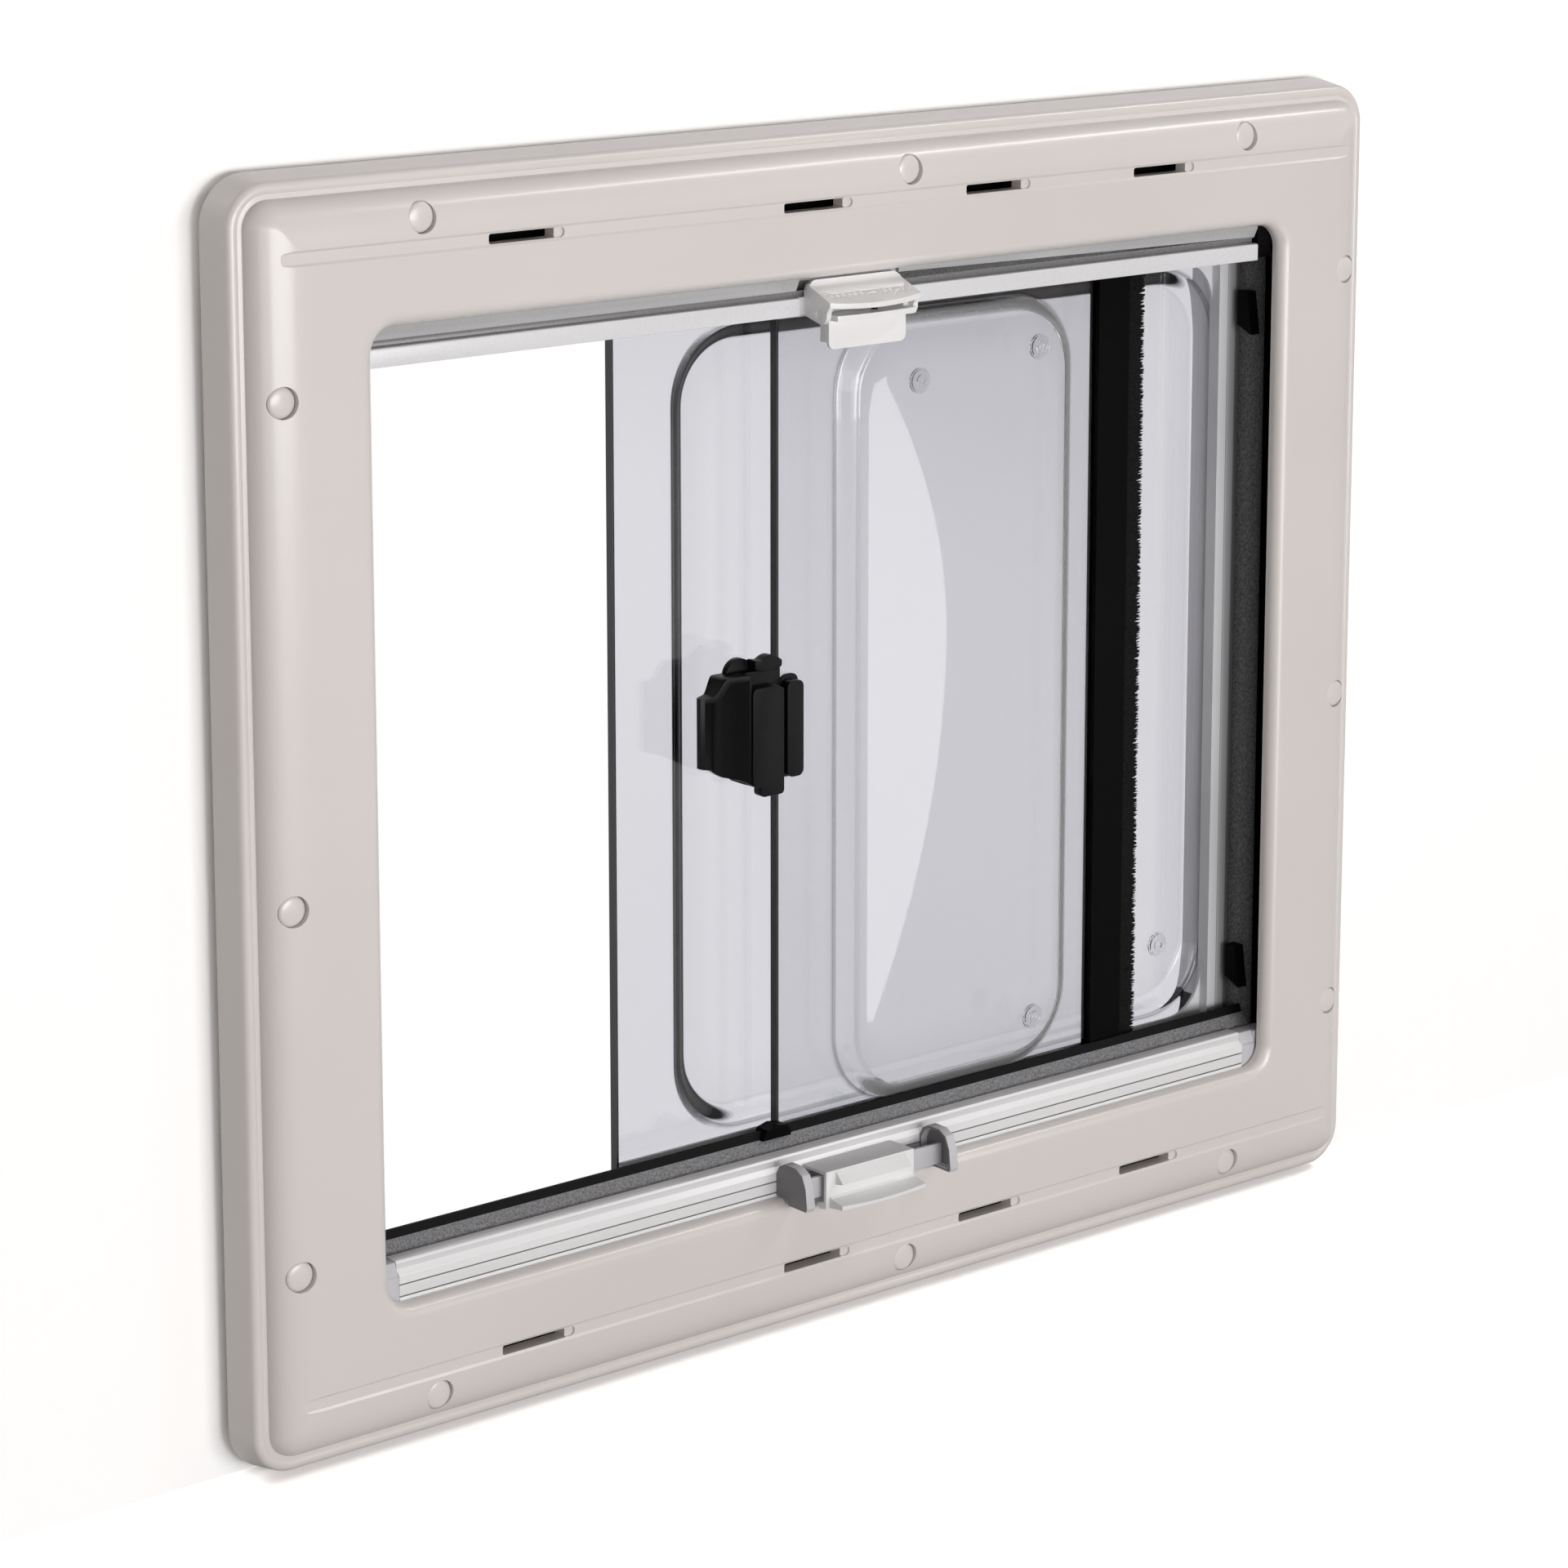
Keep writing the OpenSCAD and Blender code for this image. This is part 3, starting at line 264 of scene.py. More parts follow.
class WindowFinish(bpy.types.PropertyGroup):
    """Colours and surface of the window's materials"""

    cream: bpy.props.FloatVectorProperty(
        name="Cream", description="Colour of the room side frame", subtype="COLOR",
        default=(0.71, 0.672, 0.650), min=0, max=1)
    black: bpy.props.FloatVectorProperty(
        name="Black", description="Colour of the outer frame and the latch", subtype="COLOR",
        default=(0.003, 0.003, 0.0034), min=0, max=1)
    light_grey: bpy.props.FloatVectorProperty(
        name="Light grey", description="Colour of the clips and the link strip", subtype="COLOR",
        default=(0.56, 0.56, 0.585), min=0, max=1)
    track_grey: bpy.props.FloatVectorProperty(
        name="Track grey", description="Colour of the grained tracks", subtype="COLOR",
        default=(0.21, 0.21, 0.22), min=0, max=1)
    pane_tint: bpy.props.FloatVectorProperty(
        name="Pane tint", description="Tint of the fixed pane's sheets", subtype="COLOR",
        default=(0.86, 0.86, 0.886), min=0, max=1)
    grain: bpy.props.FloatProperty(
        name="Grain", description="Strength of the moulded grain", subtype="FACTOR",
        default=0.25, min=0, max=1)


# Meshes from whole arrays

def mesh_piece(name, points, faces, smooth_angle=35.0):
    """Mesh object from an array of points in millimetres and a list of face arrays, each with
    three or four corners a row. Edges that turn by more than smooth_angle stay crisp."""
    mesh = bpy.data.meshes.new(name)
    points = np.asarray(points, float).reshape(-1, 3)
    mesh.vertices.add(len(points))
    mesh.vertices.foreach_set("co", (points * MM).astype(np.float32).ravel())
    counts = np.concatenate([np.full(len(f), f.shape[1]) for f in faces])
    corners = np.concatenate([np.asarray(f).ravel() for f in faces])
    mesh.loops.add(len(corners))
    mesh.loops.foreach_set("vertex_index", corners.astype(np.int32))
    mesh.polygons.add(len(counts))
    mesh.polygons.foreach_set("loop_start", (np.cumsum(counts) - counts).astype(np.int32))
    mesh.update(calc_edges=True)
    mesh.validate()
    piece = bpy.data.objects.new(name, mesh)
    bpy.context.scene.collection.objects.link(piece)
    crisp_edges(mesh, smooth_angle)
    return piece


def crisp_edges(mesh, angle):
    """Smooth shading, with a crisp edge wherever two faces turn by more than the angle."""
    mesh.polygons.foreach_set("use_smooth", np.ones(len(mesh.polygons), bool))
    mesh.set_sharp_from_angle(angle=math.radians(angle))


def grid_faces(rows, columns, close_rows=False, close_columns=False):
    """Corner numbers of the quads between neighbouring rows and columns of a grid of points."""
    r = np.arange(rows if close_rows else rows - 1)
    c = np.arange(columns if close_columns else columns - 1)
    r, c = np.meshgrid(r, c, indexing="ij")
    r2 = (r + 1) % rows
    c2 = (c + 1) % columns
    quads = np.stack([r * columns + c, r2 * columns + c, r2 * columns + c2, r * columns + c2], -1)
    return quads.reshape(-1, 4)


def fans_and_quads(rows, columns):
    """Faces of a tube of points whose two ends close on two more points: quads and two fans."""
    k = np.arange(columns)
    k2 = (k + 1) % columns
    pole = rows * columns
    last = pole - columns
    first_fan = np.stack([np.full(columns, pole), k, k2], -1)
    last_fan = np.stack([np.full(columns, pole + 1), last + k2, last + k], -1)
    return [grid_faces(rows, columns, close_columns=True), first_fan, last_fan]


def repeated(faces, step, count):
    """Face arrays of one form repeated for a count of like forms, each with step points."""
    shift = (np.arange(count) * step)[:, None, None]
    return [(f[None] + shift).reshape(-1, f.shape[1]) for f in faces]


def turned_out(piece):
    """Faces of a closed mesh turned outwards."""
    bm = bmesh.new()
    bm.from_mesh(piece.data)
    bmesh.ops.remove_doubles(bm, verts=bm.verts, dist=1e-7)
    bmesh.ops.recalc_face_normals(bm, faces=bm.faces)
    bm.to_mesh(piece.data)
    bm.free()
    return piece


def applied(piece, angle=35.0):
    """Modifiers worked into the mesh, and the crisp edges set again."""
    graph = bpy.context.evaluated_depsgraph_get()
    mesh = bpy.data.meshes.new_from_object(piece.evaluated_get(graph))
    piece.modifiers.clear()
    piece.data = mesh
    crisp_edges(mesh, angle)
    return piece


def cut_with(piece, tools, angle=35.0):
    """The piece with each tool cut out of it, or added where the tool's name ends in block."""
    for tool in tools:
        cut = piece.modifiers.new(tool.name, "BOOLEAN")
        cut.operation = "UNION" if tool.name.endswith("block") else "DIFFERENCE"
        cut.solver = "EXACT"
        cut.object = tool
    applied(piece, angle)
    for tool in tools:
        bpy.data.objects.remove(tool)
    return piece


def finished(piece, material, slot, *nodes):
    """The piece gets its material, rides on the window and stands for its nodes. The slot is not used."""
    piece.data.materials.clear()
    piece.data.materials.append(material)
    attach(piece, "root")
    if nodes:
        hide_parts(*nodes)
    return piece


def softened(node, name, rounding):
    """A merged copy of a solid's mesh whose edges are rounded with a bevel."""
    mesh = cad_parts[node].data.copy()
    bm = bmesh.new()
    bm.from_mesh(mesh)
    bmesh.ops.remove_doubles(bm, verts=bm.verts, dist=1e-6)
    bmesh.ops.dissolve_limit(bm, angle_limit=math.radians(0.5), verts=bm.verts, edges=bm.edges)
    bm.to_mesh(mesh)
    bm.free()
    piece = bpy.data.objects.new(name, mesh)
    bpy.context.scene.collection.objects.link(piece)
    bevel = piece.modifiers.new("edge_rounding", "BEVEL")
    bevel.width = rounding * MM
    bevel.segments = 3
    bevel.limit_method = "ANGLE"
    bevel.angle_limit = math.radians(30)
    bevel.use_clamp_overlap = True
    return applied(piece)


def corner_loop(x0, x1, z0, z1, radii, steps, run):
    """Points of a rectangle with round corners, anticlockwise from the upper right corner.
    A corner is an arc about a centre one radius in from both sides, and the run between two
    arcs is divided evenly, so loops of different sizes have their points side by side."""
    radii = np.broadcast_to(radii, 4)
    x = np.array([x1 - radii[0], x0 + radii[1], x0 + radii[2], x1 - radii[3]])
    z = np.array([z1 - radii[0], z1 - radii[1], z0 + radii[2], z0 + radii[3]])
    angles = np.linspace(0, 0.5 * np.pi, steps + 1)[None] + 0.5 * np.pi * np.arange(4)[:, None]
    arcs = np.stack([x[:, None] + radii[:, None] * np.cos(angles),
                     z[:, None] + radii[:, None] * np.sin(angles)], -1)
    share = np.linspace(0, 1, run + 1)[1:-1][None, :, None]
    ends = arcs[:, -1:]
    starts = np.roll(arcs[:, :1], -1, axis=0)
    runs = ends + (starts - ends) * share
    return np.concatenate([arcs, runs], axis=1).reshape(-1, 2)


def circle(radius, turns):
    """Points of a circle in two directions: the cosine and the sine of each angle."""
    angle = np.linspace(0, 2 * np.pi, turns, endpoint=False)
    return radius * np.stack([np.cos(angle), np.sin(angle)], -1)


def at_depth(outline, y):
    """Outlines in X and Z about the window's centre, set at one depth or at an array of depths."""
    outline = np.asarray(outline)
    points = np.zeros((*outline.shape[:-1], 3))
    points[..., 0] = outline[..., 0]
    points[..., 1] = y
    points[..., 2] = outline[..., 1] + CENTRE_Z
    return points


def closed_prisms(name, near, far):
    """Closed prisms between pairs of like outlines, with a fan from the middle on each end."""
    near, far = np.asarray(near), np.asarray(far)
    count, n = near.shape[:2]
    ends = np.stack([near, far], axis=1)
    points = np.concatenate([ends.reshape(count, 2 * n, 3), ends.mean(axis=2)], axis=1)
    k = np.arange(n)
    k2 = (k + 1) % n
    one = np.concatenate([
        np.stack([k, k2, n + k2], -1), np.stack([k, n + k2, n + k], -1),
        np.stack([np.full(n, 2 * n), k2, k], -1), np.stack([np.full(n, 2 * n + 1), n + k, n + k2], -1)])
    return turned_out(mesh_piece(name, points, repeated([one], 2 * n + 2, count)))


def revolved(profile, centres, turns):
    """Surfaces of revolution about Y: radius and height pairs turned round each centre.
    The first and last pairs lie on the axis, so the surfaces are closed."""
    profile = np.asarray(profile, float)
    ring = circle(1.0, turns)
    body = profile[1:-1]
    rows = np.zeros((len(body), turns, 3))
    rows[:, :, 0] = body[:, :1] * ring[None, :, 0]
    rows[:, :, 2] = body[:, :1] * ring[None, :, 1]
    rows[:, :, 1] = body[:, 1:]
    poles = np.array([[0, profile[0, 1], 0], [0, profile[-1, 1], 0]])
    one = np.concatenate([rows.reshape(-1, 3), poles])
    points = one[None] + np.asarray(centres, float)[:, None]
    return points, repeated(fans_and_quads(len(body), turns), len(one), len(centres))


# Materials

def node_tools(tree):
    """Two short helpers for one node tree. The first adds a node and sets its own values or those
    of its inputs, and the second joins two sockets."""
    def add(kind, **values):
        node = tree.nodes.new(kind)
        for key, value in values.items():
            if hasattr(node, key):
                setattr(node, key, value)
            else:
                node.inputs[key.replace("_", " ")].default_value = value
        return node

    return add, tree.links.new


def fresh_material(name):
    """New material with its shader and the two helpers of its tree."""
    material = bpy.data.materials.new(name + "_finish")
    material.use_nodes = True
    return material, *shader_tools(material)


def shader_tools(material):
    """Shader of a material and the two helpers of its tree."""
    tree = material.node_tree
    return tree.nodes["Principled BSDF"], *node_tools(tree)


def noise_on_object(add, join, scale, detail, stretch=(1, 1, 1)):
    """Noise on the piece's own coordinates, in cycles a metre, stretched along an axis if asked."""
    place = add("ShaderNodeTexCoord")
    turn = add("ShaderNodeMapping", Scale=stretch)
    noise = add("ShaderNodeTexNoise", Scale=scale, Detail=detail)
    join(place.outputs["Object"], turn.inputs["Vector"])
    join(turn.outputs["Vector"], noise.inputs["Vector"])
    return noise.outputs[0]


def ramp_between(add, join, source, low, high, start, end):
    """Colour that runs from low to high as the source value runs from start to end. No channel
    goes over 1."""
    ramp = add("ShaderNodeValToRGB")
    for element, where, colour in zip(ramp.color_ramp.elements, (start, end), (low, high)):
        element.position = where
        element.color = (*np.minimum(colour, 1.0), 1)
    join(source, ramp.inputs["Fac"])
    return ramp.outputs["Color"]


def toned(add, join, shader, source, low, high, start=0.35, end=0.65):
    """The shader's colour runs from low to high as the source value runs from start to end."""
    join(ramp_between(add, join, source, low, high, start, end), shader.inputs["Base Color"])


def ranged(add, join, source, low, high, start=0.0, end=1.0):
    """Value that runs from low to high as the source value runs from start to end."""
    span = add("ShaderNodeMapRange", From_Min=start, From_Max=end, To_Min=low, To_Max=high)
    join(source, span.inputs["Value"])
    return span.outputs["Result"]


def attribute_value(add, name):
    """Value of an attribute of the mesh."""
    return add("ShaderNodeAttribute", attribute_name=name).outputs["Fac"]


def bumped(add, join, shader, source, strength, distance=0.0002):
    """Bump of the shader's surface from a source value, with its height in metres."""
    bump = add("ShaderNodeBump", Strength=strength, Distance=distance)
    join(source, bump.inputs["Height"])
    join(bump.outputs["Normal"], shader.inputs["Normal"])


def multiplied(add, join, shader):
    """Mix that multiplies the shader's colour by what is put into its second colour."""
    mix = add("ShaderNodeMix", data_type="RGBA", blend_type="MULTIPLY")
    mix.inputs[MIX_FACTOR].default_value = 1.0
    base = shader.inputs["Base Color"]
    join(base.links[0].from_socket, mix.inputs[MIX_A])
    join(mix.outputs[MIX_OUT], base)
    return mix


def moulded(name, colour, roughness, grain_scale, grain, spread=0.04, specular=0.5, coat=0.0,
            flecks=False):
    """Moulded plastic: a broad change of tone or fine flecks, a fine grain in the bump and a worn
    sheen in the roughness."""
    material, shader, add, join = fresh_material(name)
    colour = np.array(colour)
    grains = noise_on_object(add, join, grain_scale, 1.5)
    source = grains if flecks else noise_on_object(add, join, 9.0, 1.0)
    toned(add, join, shader, source, colour * (1 - spread), colour * (1 + spread))
    sheen = ranged(add, join, grains, max(roughness - 0.06, 0.02), roughness + 0.06)
    join(sheen, shader.inputs["Roughness"])
    bumped(add, join, shader, grains, grain)
    shader.inputs["Specular IOR Level"].default_value = specular
    shader.inputs["Coat Weight"].default_value = coat
    shader.inputs["Coat Roughness"].default_value = 0.16
    return material


def banded(material, axis, stops):
    """Painted light and shade: tone of a moulded material multiplied by bands along one axis of the
    piece, as pairs of a place in millimetres and a grey level, with a straight change between two pairs."""
    shader, add, join = shader_tools(material)
    place = add("ShaderNodeTexCoord")
    split = add("ShaderNodeSeparateXYZ")
    bands = add("ShaderNodeValToRGB")
    low, high = stops[0][0], stops[-1][0]
    elements = bands.color_ramp.elements
    while len(elements) < len(stops):
        elements.new(0.5)
    for element, (where, level) in zip(elements, stops):
        element.position = (where - low) / (high - low)
        element.color = (level, level, level, 1)
    join(place.outputs["Object"], split.inputs["Vector"])
    join(ranged(add, join, split.outputs[axis], 0, 1, low * MM, high * MM), bands.inputs["Fac"])
    join(bands.outputs["Color"], multiplied(add, join, shader).inputs[MIX_B])
    return material


def shaded_sides(material, level):
    """Painted shade: tone of a moulded material taken down to a level where the attribute side_shade is 1.
    """
    shader, add, join = shader_tools(material)
    mix = multiplied(add, join, shader)
    mix.inputs[MIX_B].default_value = (level, level, level, 1)
    join(attribute_value(add, "side_shade"), mix.inputs[MIX_FACTOR])
    return material


def drawn_metal(name, colour, roughness, metallic, streaks_a_metre):
    """Drawn aluminium or zinc: fine streaks along X in tone, roughness and bump."""
    material, shader, add, join = fresh_material(name)
    colour = np.array(colour)
    streaks = noise_on_object(add, join, streaks_a_metre, 3.0, (0.02, 1, 1))
    toned(add, join, shader, streaks, colour * 0.94, colour * 1.05)
    dull = ranged(add, join, streaks, max(roughness - 0.08, 0.02), roughness + 0.08)
    join(dull, shader.inputs["Roughness"])
    bumped(add, join, shader, streaks, 0.08, 0.0001)
    shader.inputs["Metallic"].default_value = metallic
    return material


def acrylic(name, tint, edge):
    """Clear acrylic with a light tint. Its colour carries painted shade from attributes of the sheet: a
    painted dark line where the sheet turns into its bulge, a painted black line on the left slope of a
    deep bulge, and painted black on a slope where it is seen nearly edge on; where the painted shade
    lies, the gloss is duller and less light goes through. Fine hairlines change the roughness."""
    material, shader, add, join = fresh_material(name)
    toned(add, join, shader, attribute_value(add, "painted_fold_line"), tint, edge, 0.0, 1.0)
    facing = add("ShaderNodeLayerWeight", Blend=0.5)
    painted_edge_on_shade = ranged(add, join, facing.outputs["Facing"], 0, 1, 0.31, 0.42)
    dark = add("ShaderNodeMath", operation="MULTIPLY_ADD", use_clamp=True)
    join(attribute_value(add, "painted_slope_shade"), dark.inputs[0])
    join(painted_edge_on_shade, dark.inputs[1])
    join(attribute_value(add, "painted_dark_line"), dark.inputs[2])
    dark = dark.outputs["Value"]
    # Painted shade: white where nothing is painted, near black where the masks are full
    rim = ramp_between(add, join, dark, (1, 1, 1), (0.01, 0.01, 0.011), 0.0, 1.0)
    join(rim, multiplied(add, join, shader).inputs[MIX_B])
    hairs = noise_on_object(add, join, 420.0, 2.0, (1, 1, 0.03))
    dull = add("ShaderNodeMath", operation="MULTIPLY_ADD")
    dull.inputs[1].default_value = 0.45
    join(dark, dull.inputs[0])
    join(ranged(add, join, hairs, 0.015, 0.05, 0.55, 0.8), dull.inputs[2])
    join(dull.outputs["Value"], shader.inputs["Roughness"])
    join(ranged(add, join, dark, 1, 0), shader.inputs["Transmission Weight"])
    shader.inputs["IOR"].default_value = 1.49
    return material


def pile(name, colour):
    """Brush fibres: dull black with a change of tone from tuft to tuft."""
    material, shader, add, join = fresh_material(name)
    colour = np.array(colour)
    tufts = noise_on_object(add, join, 900.0, 3.0)
    toned(add, join, shader, tufts, colour * 0.6, colour * 1.6)
    bumped(add, join, shader, tufts, 0.4)
    shader.inputs["Roughness"].default_value = 0.85
    shader.inputs["Specular IOR Level"].default_value = 0.1
    shader.inputs["Sheen Weight"].default_value = 0.02
    return material


def woven(name, colour, threads):
    """Woven cloth of the screen and the blind: two crossed wave patterns."""
    material, shader, add, join = fresh_material(name)
    colour = np.array(colour)
    place = add("ShaderNodeTexCoord")
    both = add("ShaderNodeMath", operation="MULTIPLY")
    for axis, factor in zip("XZ", both.inputs):
        wave = add("ShaderNodeTexWave", wave_type="BANDS", bands_direction=axis, Scale=threads)
        join(place.outputs["Object"], wave.inputs["Vector"])
        join(wave.outputs["Fac"], factor)
    both = both.outputs["Value"]
    toned(add, join, shader, both, colour * 0.7, colour * 1.1, 0.1, 0.9)
    bumped(add, join, shader, both, 0.5)
    shader.inputs["Roughness"].default_value = 0.8
    return material


def finishes():
    """All materials by name, made once from the colours of the panel."""
    if FINISHES:
        return FINISHES
    look = bpy.context.scene.window_finish
    cream = np.array(look.cream)
    black = tuple(look.black)
    grey = tuple(look.light_grey)
    fine = look.grain * 0.4
    faint = look.grain * 0.3
    faintest = look.grain * 0.2
    liner = moulded("liner_grained_painted_shade", (0.15, 0.15, 0.155), 0.6, 900.0, 0.9, 0.35, 0.1, flecks=True)
    bead = moulded("bead_grey_painted_light", (0.8, 0.81, 0.84), 0.45, 1100.0, 0.4, 0.06, 0.3)
    blind_bar = moulded("blind_bar_painted_light_tone", (0.94, 0.94, 0.955), 0.25, 1800.0, faintest, 0.02)
    screen_bar = moulded("screen_bar_painted_shade_tone", (0.74, 0.74, 0.765), 0.28, 1800.0, faintest, 0.02)
    made = [
        moulded("cream_moulding", cream, 0.34, 1500.0, faint, 0.015, coat=0.45),
        moulded("cream_cap", np.minimum(cream * 1.02, 1), 0.32, 1500.0, faint, 0.02, coat=0.45),
        moulded("black_frame", black, 0.42, 900.0, look.grain, 0.1, 0.03),
        moulded("black_latch", black, 0.36, 1400.0, look.grain, 0.1, 0.13),
        moulded("black_rubber", (0.004, 0.004, 0.004), 0.6, 1200.0, look.grain, 0.15, 0.08),
        moulded("track_grained", tuple(look.track_grey), 0.55, 1100.0, 0.8, 0.3, 0.2, flecks=True),
        banded(liner, "Y", LINER_PAINTED_SHADE),
        banded(bead, "X", BEAD_PAINTED_LIGHT),
        moulded("seal_white", (0.9, 0.9, 0.92), 0.5, 1200.0, 0.3, 0.04, 0.2),
        moulded("handle_white", (0.86, 0.855, 0.86), 0.33, 1600.0, fine, 0.01),
        moulded("handle_grey", grey, 0.36, 1600.0, fine, 0.02),
        shaded_sides(moulded("ear_grey", grey, 0.36, 1600.0, fine, 0.02), 0.34),
        moulded("pull_white", (0.8, 0.795, 0.805), 0.36, 1600.0, fine, 0.02),
        banded(blind_bar, "Z", BLIND_BAR_PAINTED_LIGHT),
        banded(screen_bar, "Z", SCREEN_BAR_PAINTED_SHADE),
        moulded("edge_dark", (0.05, 0.05, 0.053), 0.45, 1200.0, look.grain, 0.1, 0.3),
        drawn_metal("bar_drawn", (0.72, 0.73, 0.76), 0.3, 0.6, 600.0),
        drawn_metal("zinc", (0.62, 0.62, 0.64), 0.32, 1.0, 200.0),
        # The second colour of each acrylic is its painted dark line where a sheet turns into its bulge
        acrylic("pane_acrylic", tuple(look.pane_tint), (0.25, 0.25, 0.27)),
        acrylic("sash_acrylic", tuple(np.cbrt(look.pane_tint)), (0.25, 0.25, 0.27)),
        acrylic("plug_clear", (0.9, 0.9, 0.91), (0.6, 0.6, 0.62)),
        pile("brush_fibres", (0.005, 0.005, 0.005)),
        woven("screen_mesh", (0.05, 0.05, 0.05), 380.0),
        woven("blind_weave", (0.5, 0.5, 0.52), 260.0),
    ]
    FINISHES.update({m.name.removesuffix("_finish"): m for m in made})
    return FINISHES


# Room side frame

def crown(s, sizes):
    """Height of the moulding over the wall, by the distance s from its outer edge. Inside the bead
    lies a shallow valley, and from it the crown rises as (1 - (1 - t)^3)^0.515 to the flat crest."""
    t = np.clip((s - VALLEY_INSET) / (CREST_INSET - VALLEY_INSET), 0, 1)
    low = sizes.bead_rise - VALLEY_DROP
    return low + (sizes.flange_rise - low) * (1 - (1 - t) ** 3) ** CROWN_POWER


def moulding_profile(sizes):
    """Closed outline of the moulding as pairs of distance from the outer edge and height."""
    rise = sizes.flange_rise
    width = sizes.flange_w
    skin = rise - SKIN_T
    turn = np.radians(np.arange(0, 131, 10))
    bead = np.stack([BEAD_INSET - BEAD_R * np.cos(turn), sizes.bead_rise + BEAD_R * (np.sin(turn) - 1)], -1)
    s = VALLEY_INSET + (CREST_INSET - VALLEY_INSET) * np.linspace(0, 1, 40) ** 2.2
    crest = np.stack([s, crown(s, sizes)], -1)
    turn = np.radians(np.arange(90, -1, -9))
    lip = np.stack([width + LIP_R * (np.cos(turn) - 1), rise + LIP_R * (np.sin(turn) - 1)], -1)
    s = np.linspace(CREST_INSET - SKIN_T, VALLEY_INSET + SKIN_T, 7)
    back = np.stack([s, crown(s - BACK_SHIFT, sizes) - SKIN_T], -1)
    return np.concatenate([
        [[0, 0], [0.7, 4.0], [1.5, 9.0]], bead, crest, [[BLEND_FROM, rise], [BLEND_TO, rise]], lip,
        [[width, rise - LIP_H], [width - SKIN_T, rise - LIP_H], [width - SKIN_T, skin]],
        [[BLEND_TO, skin], [BLEND_FROM, skin], [CREST_INSET, skin]], back,
        [[VALLEY_INSET, sizes.bead_rise - 4], [BEAD_INSET, sizes.bead_rise - 4.4], [SKIN_T, 0]]])


def moulding_loop(s, sizes):
    """The loop at distance s from the outer edge. The corner radius falls with s down to a soft
    mitre of radius m, as (r + sqrt(r^2 + 4 m^2)) / 2. On the inner part of the flange the corners
    have the centre of the opening's corner."""
    half_w = sizes.frame_w / 2 - s
    half_h = sizes.frame_h / 2 - s
    left = sizes.corner_r - s
    radius = (left + math.hypot(left, 2 * MITRE_R)) / 2
    if s > BLEND_FROM:
        radius = sizes.opening_r + sizes.flange_w - s
    return corner_loop(-half_w, half_w, -half_h, half_h, radius, 18, 20)


def slot_outline(x0, x1, half_h, radius):
    """Outline of a slot between two ends, with small round corners."""
    return corner_loop(x0, x1, -half_h, half_h, radius, 6, 2)


def band_outlines(spread, band_z):
    """Outlines of the upper and the lower band, widened all round by the spread."""
    half_l = BAND_HALF_L + spread
    half_h = BAND_HALF_H + spread
    one = corner_loop(-half_l, half_l, -half_h, half_h, BAND_R + spread, 5, 2)
    return one + [[[0, band_z]], [[0, -band_z]]]


def screw_places(sizes):
    """Places of the twelve screws in X and Z from the window's centre."""
    w = sizes.frame_w - 2 * sizes.flange_w
    h = sizes.frame_h - 2 * sizes.flange_w
    x = sizes.frame_w / 2 - SCREW_INSET
    z = sizes.frame_h / 2 - SCREW_INSET
    top = [(f * w, s * z) for f in SCREW_SHARES_X for s in (1, -1)]
    side = [(s * x, f * h) for f in SCREW_SHARES_Z for s in (1, -1)]
    return np.array(top + side)


def room_frame(sizes):
    """The moulding: its profile carried round the loops, short ducts added behind the eight air
    slots, and the two bands, the slots with their end pockets and the cap seats cut out of it."""
    profile = moulding_profile(sizes)
    loops = np.array([moulding_loop(s, sizes) for s in profile[:, 0]])
    faces = grid_faces(*loops.shape[:2], close_rows=True, close_columns=True)
    piece = turned_out(mesh_piece("room_frame", at_depth(loops, WALL_Y - profile[:, 1:]), [faces]))
    crest = WALL_Y - sizes.flange_rise
    band_z = sizes.frame_h / 2 - BAND_INSET
    slot_x = np.array(SLOT_SHARES) * (sizes.frame_w - 2 * sizes.flange_w)
    slots = np.array([(x, s * band_z) for x in slot_x for s in (1, -1)])[:, None]
    half_l = sizes.slot_l / 2
    half_h = sizes.slot_h / 2

    def tool(name, near, top, bottom, far=None):
        """Prisms between two depths from the crest, which taper where far outlines are given."""
        far = near if far is None else far
        return closed_prisms(name, at_depth(near, crest + top), at_depth(far, crest + bottom))

    duct = slot_outline(-half_l - DUCT_WALL, half_l + DUCT_WALL, half_h + DUCT_WALL, SLOT_R + DUCT_WALL)
    slot = slot_outline(-half_l, half_l, half_h, SLOT_R)
    pocket = slot_outline(half_l - 1, half_l + POCKET_L, half_h, POCKET_DEPTH)
    bands = band_outlines(BAND_SPREAD, band_z)
    floors = band_outlines(0, band_z)
    seats = circle(SEAT_R, 48) + screw_places(sizes)[:, None]
    return cut_with(piece, [
        tool("duct_block", duct + slots, POCKET_DEPTH, DUCT_END),
        tool("band_cutter", bands, -CUT_CLEAR, BAND_DEPTH, floors),
        tool("slot_cutter", slot + slots, -CUT_CLEAR, DUCT_END + 1),
        tool("pocket_cutter", pocket + slots, -CUT_CLEAR, POCKET_DEPTH),
        tool("seat_cutter", seats, -2 * CUT_CLEAR, SEAT_DEPTH),
    ], 28)


def caps(sizes):
    """Twelve domed caps: a flat skirt, a small edge radius and a dome that falls as a cosine."""
    seat = WALL_Y - sizes.flange_rise + SEAT_DEPTH
    rim = CAP_R - 0.1
    edge = np.radians(np.linspace(90, 0, 10))
    dome = np.stack([DOME_R * np.sin(edge), 1.45 + DOME_H * np.cos(edge)], -1)
    profile = np.concatenate([[[0, 0.02], [rim, 0.02], [CAP_R, 0.2], [CAP_R, 1.0], [rim, 1.3]], dome])
    profile[:, 1] = seat - profile[:, 1]
    points, faces = revolved(profile, at_depth(screw_places(sizes), 0), 56)
    return turned_out(mesh_piece("cover_caps", points, faces, 50))


